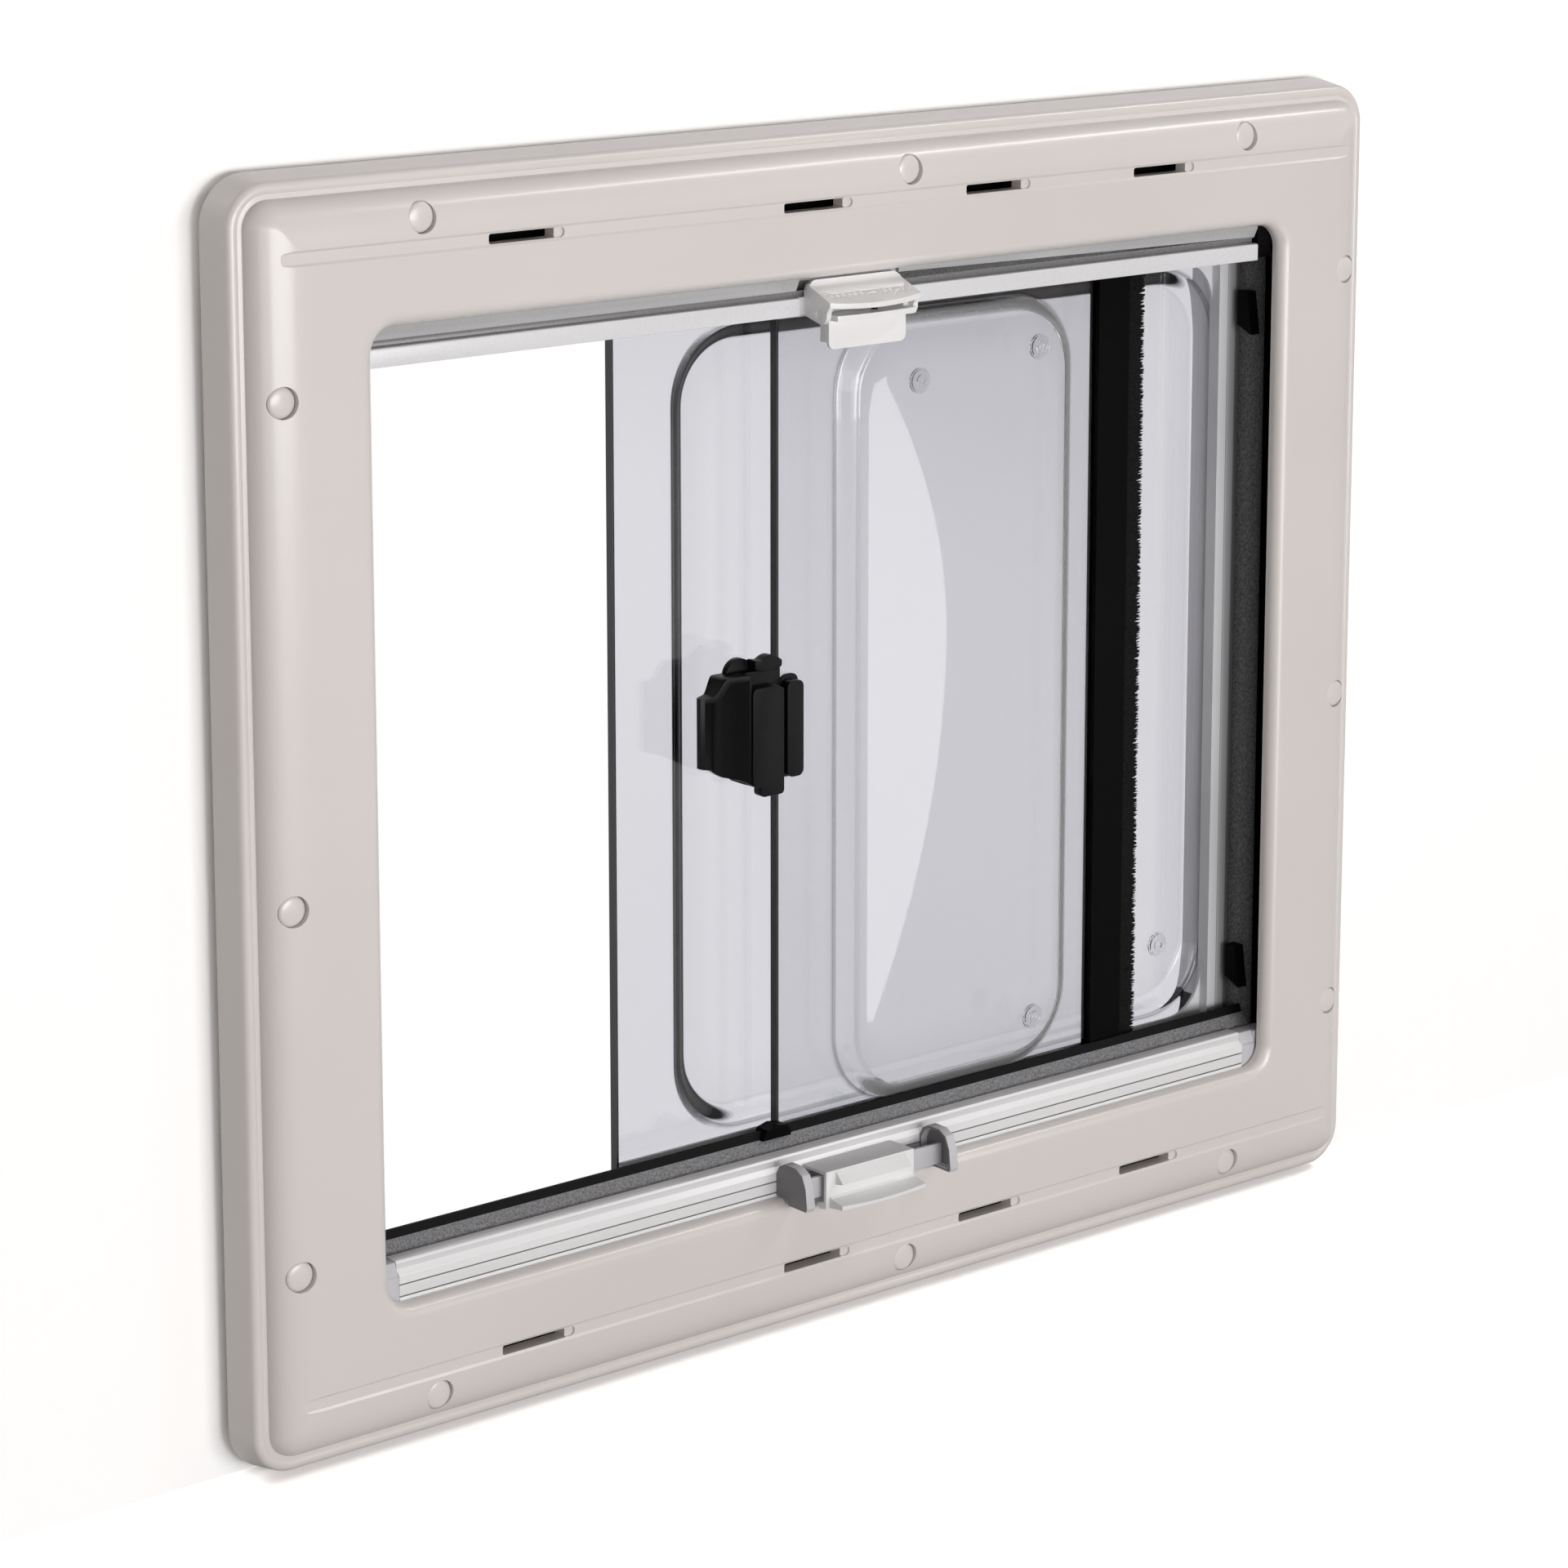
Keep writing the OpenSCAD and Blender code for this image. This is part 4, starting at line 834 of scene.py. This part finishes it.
class WINDOW_OT_room_frame(bpy.types.Operator):
    """Room side frame with its bands, air slots and cover caps"""

    bl_idname = "window.room_frame"
    bl_label = "Room side frame"

    def execute(self, context):
        sizes = context.scene.window_sizes
        look = finishes()
        finished(room_frame(sizes), look["cream_moulding"], "cream_moulding", "interior_frame")
        finished(caps(sizes), look["cream_cap"], "cream_moulding", "screw_caps")
        return {"FINISHED"}


# Panes

def bulged_sheet(name, outline, radii, bulge, sizes, middle_y, direction, rise, depth_shade=0.0):
    """Acrylic sheet of even thickness with a formed bulge. From the middle outwards its loops run
    over the flat crown, down the slope as (1 + cos)/2 and over the flat margin to the edge; the
    back follows the front at the sheet's thickness. Direction is 1 outwards and -1 to the room."""
    bx0, bx1, bz0, bz1 = bulge
    steps, run = 14, 12
    t = np.linspace(0, 1, 25)
    slope = [corner_loop(bx0 + d, bx1 - d, bz0 + d, bz1 - d, sizes.bulge_r - d, steps, run)
             for d in SLOPE_W * (1 - t)]
    foot = slope[-1]
    edge = corner_loop(*outline, radii, steps, run)
    middle = slope[0].mean(axis=0)
    inner = [middle + (slope[0] - middle) * q for q in (0.02, 0.5, 0.9)]
    outer = [foot * (1 - q) + edge * q for q in (0.03, 0.045, 0.3, 1.0)]
    loops = np.array(inner + slope + outer)
    count = loops.shape[1]

    def by_loop(crown_value, slope_values, margin_values):
        """A column of values for the loops: the crown's, the slope's and the margin's."""
        return np.concatenate([np.full(3, crown_value), slope_values, margin_values])[:, None]

    def both_sides(values):
        """Values of the front's points and, in turned order, of the back's, and two for the poles."""
        values = np.broadcast_to(values, loops.shape[:2])
        return np.concatenate([values.ravel(), values[::-1].ravel(), [0, 0]]).astype(np.float32)

    lift = by_loop(1, (1 + np.cos(np.pi * t)) / 2, np.zeros(4)) * rise
    near = middle_y + direction * SHEET_GAP
    front = at_depth(loops, near + direction * (SHEET_T + lift))
    back = at_depth(loops, near + direction * lift)
    rows = np.concatenate([front, back[::-1]])
    poles = [[middle[0], side[0, 0, 1], middle[1] + CENTRE_Z] for side in (front, back)]
    points = np.concatenate([rows.reshape(-1, 3), poles])
    piece = mesh_piece(name, points, fans_and_quads(len(rows), count))
    # Painted shade for the acrylic, carried by three attributes: a dark line where the sheet turns into its
    # bulge, a dark slope where it is seen edge on, and a black line on the left of a deep bulge
    painted_turn_line = np.exp(-((t - 0.97) / 0.045) ** 2) + 0.25 * np.exp(-((t - 0.05) / 0.05) ** 2)
    leftward = np.clip((middle[0] - foot[:, 0]) / (middle[0] - bx0) * 8 - 7, 0, 1)
    deep = depth_shade >= 1
    shades = {
        "painted_fold_line": by_loop(0, painted_turn_line, [0.12, 0, 0, 0]) * (rise > 0),
        "painted_slope_shade": by_loop(0, np.clip(np.minimum(t, 1 - t) / 0.06, 0, 1), np.zeros(4)) * depth_shade,
        "painted_dark_line": by_loop(0, np.clip((t - 0.2) / 0.1, 0, 1), [1, 0, 0, 0]) * leftward * deep,
    }
    for key, values in shades.items():
        attribute = piece.data.attributes.new(key, "FLOAT", "POINT")
        attribute.data.foreach_set("value", both_sides(values))
    turned_out(piece)
    crisp_edges(piece.data, 40)
    return piece


def sheet_box(node):
    """Outline in X and Z of a pane's solid, drawn in by a hair's gap."""
    low, high = node_box(node)
    return np.array([low[0], high[0], low[2] - CENTRE_Z, high[2] - CENTRE_Z]) + DRAWN_IN * INWARDS


def foot_of_bulge(outline, margins):
    """Foot of a bulge, from a sheet's outline and its margins on the left, the right and both ends."""
    left, right, ends = margins
    return outline + np.array([left, right, ends, ends]) * INWARDS


def upright_strip(name, x1, y0, y1, end_gap):
    """Thin strip on an upright wall, with softly rounded edges. It ends a gap short of the fixed
    pane's top and bottom."""
    outline = corner_loop(x1 - STRIP_T, x1, y0, y1, STRIP_R, 2, 1)
    ends = np.zeros((2, 1, len(outline), 3))
    ends[..., :2] = outline
    ends[0, ..., 2] = FIXED_LOW[2] + end_gap
    ends[1, ..., 2] = FIXED_HIGH[2] - end_gap
    return closed_prisms(name, *ends)


class WINDOW_OT_panes(bpy.types.Operator):
    """The four acrylic sheets of the two double panes, and two strips beside the fixed one"""

    bl_idname = "window.panes"
    bl_label = "Panes"

    def execute(self, context):
        sizes = context.scene.window_sizes
        look = finishes()
        fixed = sheet_box("fixed_pane_outer_sheet")
        sash = sheet_box("sliding_pane_inner_sheet")
        fixed_foot = foot_of_bulge(fixed, FIXED_MARGINS)
        sash_foot = foot_of_bulge(sash, SASH_MARGINS)
        rise = sizes.bulge_h
        fixed_y = FIXED_HIGH[1]
        sash_y = node_box("sliding_pane_outer_sheet")[0][1]
        for name, outline, radii, bulge, middle_y, direction, height, shade, finish in (
                ("fixed_pane_outer", fixed, FIXED_R, fixed_foot, fixed_y, 1, rise, 1.0, "pane_acrylic"),
                ("fixed_pane_inner", fixed, FIXED_R, FLAT_RINGS, fixed_y, -1, 0.0, 0.0, "pane_acrylic"),
                ("sliding_pane_inner", sash, SASH_R, sash_foot, sash_y, -1, rise, 0.6, "sash_acrylic"),
                ("sliding_pane_outer", sash, SASH_R, FLAT_RINGS, sash_y, 1, 0.0, 0.0, "sash_acrylic")):
            piece = bulged_sheet(name, outline, radii, bulge, sizes, middle_y, direction, height, shade)
            finished(piece, look[finish], "acrylic", name + "_sheet")
        liner = upright_strip("reveal_liner", FIXED_HIGH[0], *LINER_SPAN)
        finished(liner, look["liner_grained_painted_shade"], "black_frame")
        seal = upright_strip("aperture_seal", fixed_foot[1] + SEAL_GAP + STRIP_T, *SEAL_SPAN)
        finished(seal, look["seal_white"], "grey_bead")
        return {"FINISHED"}


def brush(low, high):
    """Brush of loose blades between two corners. A blade is a three-sided spike along X with a
    narrow tip; its reach and its lean follow tufts that are sums of sines over Z."""
    rng = np.random.default_rng(5)
    each = BLADES // BLADE_LAYERS
    z = np.tile(np.linspace(low[2] + 0.5, high[2] - 0.5, each), BLADE_LAYERS)
    z = z + rng.normal(0, 0.12, BLADES)
    y = np.repeat(np.linspace(low[1] + 0.8, high[1] - 0.8, BLADE_LAYERS), each)
    tuft = 0.8 * np.sin(z * 0.9) * np.sin(z * 0.23 + 1) + 0.5 * np.sin(z * 2.7)
    full = high[0] - low[0]
    reach = np.clip(full - 0.6 + tuft * 0.5 + rng.normal(0, 0.3, BLADES), 9, full)
    lean = rng.normal(0, 0.3, BLADES) + 0.4 * np.sin(z * 0.31)
    half = BLADE_HALF + rng.uniform(-0.05, 0.08, BLADES)
    along = np.array([0.0, 0.75, 1.0])[:, None]
    width = np.array([1.0, 0.95, 0.3])[:, None]
    angle = np.radians([90, 210, 330])
    reach, lean, half, y, z = (values[:, None, None] for values in (reach, lean, half, y, z))
    points = np.zeros((BLADES, 3, 3, 3))
    points[..., 0] = low[0] + reach * along
    points[..., 1] = np.clip(y + half * width * np.sin(angle) * 0.8, low[1], high[1])
    points[..., 2] = np.clip(z + lean * along ** 2 + half * width * np.cos(angle), low[2], high[2])
    one = [grid_faces(3, 3, close_columns=True), np.array([[0, 1, 2], [8, 7, 6]])]
    return turned_out(mesh_piece("brush_pile", points, repeated(one, 9, BLADES), 80))


class WINDOW_OT_brush(bpy.types.Operator):
    """Brush pile on the stile, with a ragged free edge"""

    bl_idname = "window.brush"
    bl_label = "Brush pile"

    def execute(self, context):
        piece = brush(*node_box("brush_seal"))
        finished(piece, finishes()["brush_fibres"], "brush_pile", "brush_seal")
        return {"FINISHED"}


# Bars, handles and latch

class WINDOW_OT_bars(bpy.types.Operator):
    """End bars of the flyscreen and the blind"""

    bl_idname = "window.bars"
    bl_label = "Screen and blind bars"

    def execute(self, context):
        look = finishes()
        for node, name, material, slot in (
                ("screen_bar", "screen_end_bar", "screen_bar_painted_shade_tone", "bar_aluminium"),
                ("blind_bar", "blind_end_bar", "blind_bar_painted_light_tone", "bar_aluminium"),
                ("screen_bar_ends", "screen_bar_caps", "black_frame", "black_frame"),
                ("blind_bar_ends", "blind_bar_caps", "handle_grey", "light_grey_plastic")):
            finished(softened(node, name, BAR_ROUND), look[material], slot, node)
        return {"FINISHED"}


def dimpled(piece):
    """Two staggered rows of small pits in the ledge of the screen handle."""
    low, high = node_box("screen_handle")
    row = (low[0] + high[0]) / 2 + PIT_PITCH * (np.arange(PIT_COUNT) - (PIT_COUNT - 1) / 2)
    reach = np.repeat(PIT_ROWS, PIT_COUNT)
    places = np.zeros((2 * PIT_COUNT, 1, 3))
    places[:, 0, 0] = np.concatenate([row - PIT_STAGGER, row + PIT_STAGGER])
    places[:, 0, 1] = BAR_LOW[1] - reach
    places[:, 0, 2] = BAR_LOW[2] + LEDGE_LINE - LEDGE_SLOPE * reach
    ring = np.zeros((1, 12, 3))
    ring[0, :, :2] = circle(PIT_R, 12)
    near = places + ring - [0, 0, PIT_DEPTH]
    far = places + ring + [0, 0, CUT_CLEAR / 2]
    return cut_with(piece, [closed_prisms("pit_cutter", near, far)])


def side_shaded(piece):
    """Attribute of painted shade that is 1 on the faces that look left or right, and 0 on the others."""
    mesh = piece.data
    normals = np.zeros(3 * len(mesh.polygons))
    mesh.polygons.foreach_get("normal", normals)
    shade = np.clip((np.abs(normals[::3]) - 0.9) / 0.05, 0, 1)
    attribute = mesh.attributes.new("side_shade", "FLOAT", "FACE")
    attribute.data.foreach_set("value", shade.astype(np.float32))
    return piece


def lever_screw():
    """Screw between the ledge and the lever of the screen handle, turned about Z."""
    profile = [[0, 0], [1.5, 0], [1.5, 1.6], [2.5, 1.8], [2.7, 2.3], [2.7, 3.6], [2.4, 4.1], [0, 4.2]]
    points, faces = revolved(profile, [[0, 0, 0]], 32)
    points = points[..., [0, 2, 1]] + [SCREW_X, BAR_LOW[1] - SCREW_FRONT, BAR_LOW[2] + SCREW_FOOT]
    return turned_out(mesh_piece("lever_screw", points, faces, 30))


class WINDOW_OT_handles(bpy.types.Operator):
    """Screen handle with its lever, blind grip with its clips and link strip"""

    bl_idname = "window.handles"
    bl_label = "Handles"

    def execute(self, context):
        rounding = context.scene.window_sizes.edge_round
        look = finishes()
        for node, name, material, work in (
                ("screen_handle", "screen_pull", "handle_white", dimpled),
                ("screen_lever", "screen_trigger", "handle_white", None),
                ("blind_grip", "blind_pull", "pull_white", None),
                ("blind_guide_clips", "blind_ears", "ear_grey", side_shaded),
                ("blind_link_strip", "blind_link", "handle_grey", None)):
            piece = softened(node, name, rounding)
            if work:
                work(piece)
            finished(piece, look[material], "light_grey_plastic", node)
        finished(lever_screw(), look["black_latch"], "light_grey_plastic")
        return {"FINISHED"}


class WINDOW_OT_latch(bpy.types.Operator):
    """Latch on the leading edge of the sliding pane"""

    bl_idname = "window.latch"
    bl_label = "Latch"

    def execute(self, context):
        rounding = context.scene.window_sizes.edge_round
        black = finishes()["black_latch"]
        for node in ("latch_body", "latch_wing", "latch_clamp", "latch_lever"):
            finished(softened(node, node + "_rounded", rounding), black, "latch_plastic", node)
        return {"FINISHED"}


class WINDOW_OT_solids(bpy.types.Operator):
    """Materials of the solids that stay as they are"""

    bl_idname = "window.solids"
    bl_label = "Carried-over solids"

    def execute(self, context):
        look = finishes()
        for material, nodes in SOLID_FINISHES.items():
            for node in nodes:
                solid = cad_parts[node]
                solid.data.materials.clear()
                solid.data.materials.append(look[material])
        return {"FINISHED"}


# Stage

def empty_tree(block):
    """The two node helpers of a material or a world whose node tree has been emptied."""
    block.use_nodes = True
    block.node_tree.nodes.clear()
    return node_tools(block.node_tree)


def mixed_shaders(add, join, factor, first, second):
    """Mix of two shaders by a factor."""
    mix = add("ShaderNodeMixShader")
    join(factor, mix.inputs["Fac"])
    join(first.outputs[0], mix.inputs[1])
    join(second.outputs[0], mix.inputs[2])
    return mix


def clear_from_behind(add, join, shader):
    """The shader, with a see-through back, so that it hides nothing from the other side."""
    side = add("ShaderNodeNewGeometry")
    return mixed_shaders(add, join, side.outputs["Backfacing"], shader, add("ShaderNodeBsdfTransparent"))


def any_of(add, join, *values):
    """Highest of some values: for kinds of ray, 1 where any of them applies."""
    most = values[0]
    for value in values[1:]:
        higher = add("ShaderNodeMath", operation="MAXIMUM")
        join(most, higher.inputs[0])
        join(value, higher.inputs[1])
        most = higher.outputs[0]
    return most


def stage_material(name, gain):
    """Plain pale surface that keeps the shadows. It throws back half of the light, in gloss and
    through glass it is white, and for the camera the gain lifts it so that it reads as white."""
    material = bpy.data.materials.new(name + "_finish")
    add, join = empty_tree(material)
    rays = add("ShaderNodeLightPath").outputs
    tone = add("ShaderNodeMix", data_type="RGBA")
    tone.inputs[MIX_A].default_value = (0.5, 0.5, 0.5, 1)
    tone.inputs[MIX_B].default_value = (1, 1, 1, 1)
    lifted = add("ShaderNodeMix", data_type="RGBA")
    lifted.inputs[MIX_B].default_value = (gain, gain, gain, 1)
    pale = add("ShaderNodeBsdfDiffuse")
    out = add("ShaderNodeOutputMaterial")
    join(any_of(add, join, rays["Is Glossy Ray"], rays["Is Transmission Ray"]), tone.inputs[MIX_FACTOR])
    join(rays["Is Camera Ray"], lifted.inputs[MIX_FACTOR])
    join(tone.outputs[MIX_OUT], lifted.inputs[MIX_A])
    join(lifted.outputs[MIX_OUT], pale.inputs["Color"])
    join(clear_from_behind(add, join, pale).outputs[0], out.inputs["Surface"])
    return material


def glow_material(name, strength, one_sided):
    """Even light of a white card. Where it is one-sided, its back is see-through."""
    material = bpy.data.materials.new(name + "_finish")
    add, join = empty_tree(material)
    light = add("ShaderNodeEmission", Strength=strength)
    out = add("ShaderNodeOutputMaterial")
    shader = clear_from_behind(add, join, light) if one_sided else light
    join(shader.outputs[0], out.inputs["Surface"])
    return material


def staged(name, points, faces, material, unseen=()):
    """Piece of the stage, which the kinds of ray named as unseen pass by."""
    piece = mesh_piece(name, points, [faces])
    piece.data.materials.append(material)
    for ray in unseen:
        setattr(piece, "visible_" + ray, False)


def floor():
    """Wide pale floor just under the window."""
    corners = np.array([[-1, -1, 0], [1, -1, 0], [1, 1, 0], [-1, 1, 0]]) * FLOOR_HALF + [0, 0, FLOOR_Z]
    staged("floor", corners, np.array([[0, 1, 2, 3]]), stage_material("floor_pale", FLOOR_GAIN))


def reflector():
    """D-shaped reflector to the right of the window that shows in the sliding pane. Its right edge
    stands 61 (1 - (d / L)^2) mm from a line 4 mm inside its left one, with d from its widest
    height and L 165 mm above it and 225 mm below it."""
    z = np.linspace(8.0, 357.0, 36)
    d = z - 212.0
    points = np.zeros((2, len(z), 3))
    points[0, :, 0] = 238.0
    points[1, :, 0] = 242.0 + 61.0 * (1 - (d / np.where(d > 0, 165.0, 225.0)) ** 2)
    points[:, :, 1] = -300.0
    points[:, :, 2] = z
    glow = glow_material("reflector_glow", 4.0, False)
    unseen = ("camera", "diffuse", "transmission", "shadow")
    staged("reflector_card", points, grid_faces(2, len(z)), glow, unseen)


def daylight_card():
    """White card behind the cut-out, seen through the open half and the panes from the room. It
    faces the room, so it is see-through from outside."""
    x = 420.0
    y = WALL_Y + 45.0
    z0 = CAD_BOX[0][2] / MM + 0.5
    z1 = CAD_BOX[1][2] / MM + 120.0
    corners = np.array([[-x, y, z0], [x, y, z0], [x, y, z1], [-x, y, z1]])
    white = glow_material("daylight_white", 1.0, True)
    staged("daylight_card", corners, np.array([[0, 1, 2, 3]]), white, ("diffuse", "shadow"))


def wall():
    """Wall backdrop with the cut-out, set back from the frame's foot by its stand-off."""
    hole = corner_loop(-300, 300, -250, 250, 22.5, 10, 4)
    edge = corner_loop(-WALL_HALF, WALL_HALF, FLOOR_Z - CENTRE_Z, WALL_HALF, 1.0, 10, 4)
    points = at_depth([hole, edge], WALL_Y + WALL_STAND_OFF)
    faces = grid_faces(2, len(hole), close_columns=True)
    staged("wall_backdrop", points, faces, stage_material("wall_pale", WALL_GAIN), ("shadow",))


def studio_world():
    """World that is white for the camera, in gloss and through glass, and that lights the window
    with a warm glow, which falls from the horizon to halfway up."""
    world = bpy.data.worlds.new("studio")
    add, join = empty_tree(world)
    direction = add("ShaderNodeTexCoord")
    split = add("ShaderNodeSeparateXYZ")
    glow = add("ShaderNodeBackground", Color=(1, 0.9, 0.84, 1))
    white = add("ShaderNodeBackground", Color=(1, 1, 1, 1))
    out = add("ShaderNodeOutputWorld")
    join(direction.outputs["Generated"], split.inputs["Vector"])
    join(ranged(add, join, split.outputs["Z"], 0.4, 0.13, 0.0, 0.5), glow.inputs["Strength"])
    rays = add("ShaderNodeLightPath").outputs
    seen = any_of(add, join, rays["Is Camera Ray"], rays["Is Glossy Ray"], rays["Is Transmission Ray"])
    join(mixed_shaders(add, join, seen, glow, white).outputs[0], out.inputs["Surface"])
    return world


def placed(name, data, place, ahead):
    """Lamp or camera at a place in metres, turned so that it looks ahead."""
    item = bpy.data.objects.new(name, data)
    item.location = place
    item.rotation_mode = "QUATERNION"
    item.rotation_quaternion = Vector(ahead).to_track_quat("-Z", "Y")
    bpy.context.scene.collection.objects.link(item)
    return item


def softbox(name, place, size, power):
    """Soft rectangular lamp, turned to the middle of the window."""
    data = bpy.data.lights.new(name, "AREA")
    data.color = (1.0, 0.99, 0.985)
    data.shape = "RECTANGLE"
    data.size, data.size_y = size
    data.energy = power
    placed(name, data, place, Vector((0, -0.05, CENTRE_Z * MM)) - Vector(place))


def camera():
    """Camera at the photograph's place, looking down on the window from its left."""
    data = bpy.data.cameras.new("camera")
    data.sensor_width = 36.0
    data.lens = CAMERA_LENS
    data.shift_y = CAMERA_SHIFT
    data.clip_start = 0.05
    data.clip_end = 60.0
    yaw = math.radians(CAMERA_YAW)
    pitch = math.radians(CAMERA_PITCH)
    ahead = (math.sin(yaw) * math.cos(pitch), math.cos(yaw) * math.cos(pitch), -math.sin(pitch))
    x, y, z = CAMERA_PLACE
    return placed("camera", data, (x, y, z + CENTRE_Z * MM), ahead)


class WINDOW_OT_stage(bpy.types.Operator):
    """Floor, wall backdrop, cards, lamps, world and camera"""

    bl_idname = "window.stage"
    bl_label = "Stage"

    def execute(self, context):
        scene = context.scene
        floor()
        reflector()
        daylight_card()
        wall()
        scene.world = studio_world()
        for lamp in LAMPS:
            softbox(*lamp)
        scene.camera = camera()
        scene.view_settings.view_transform = "Standard"
        return {"FINISHED"}


class WINDOW_PT_panel(bpy.types.Panel):
    """Panel in the sidebar with the sizes, the finishes and the pieces"""

    bl_label = "Caravan window"
    bl_idname = "WINDOW_PT_panel"
    bl_space_type = "VIEW_3D"
    bl_region_type = "UI"
    bl_category = "Window"

    def draw(self, context):
        layout = self.layout
        for group in (context.scene.window_sizes, context.scene.window_finish):
            box = layout.box()
            for key in group.__annotations__:
                box.prop(group, key)
        for operator in OPERATORS:
            layout.operator(operator.bl_idname)


OPERATORS = (
    WINDOW_OT_room_frame,
    WINDOW_OT_panes,
    WINDOW_OT_brush,
    WINDOW_OT_bars,
    WINDOW_OT_handles,
    WINDOW_OT_latch,
    WINDOW_OT_solids,
    WINDOW_OT_stage,
)
CLASSES = (WindowSizes, WindowFinish, *OPERATORS, WINDOW_PT_panel)


def register():
    for item in CLASSES:
        bpy.utils.register_class(item)
    bpy.types.Scene.window_sizes = bpy.props.PointerProperty(type=WindowSizes)
    bpy.types.Scene.window_finish = bpy.props.PointerProperty(type=WindowFinish)


def unregister():
    del bpy.types.Scene.window_finish
    del bpy.types.Scene.window_sizes
    for item in reversed(CLASSES):
        bpy.utils.unregister_class(item)


def main():
    """Builds the stage and every piece."""
    register()
    for step in ("stage", "room_frame", "panes", "brush", "bars", "handles", "latch", "solids"):
        getattr(bpy.ops.window, step)()


if __name__ == "__main__":
    main()
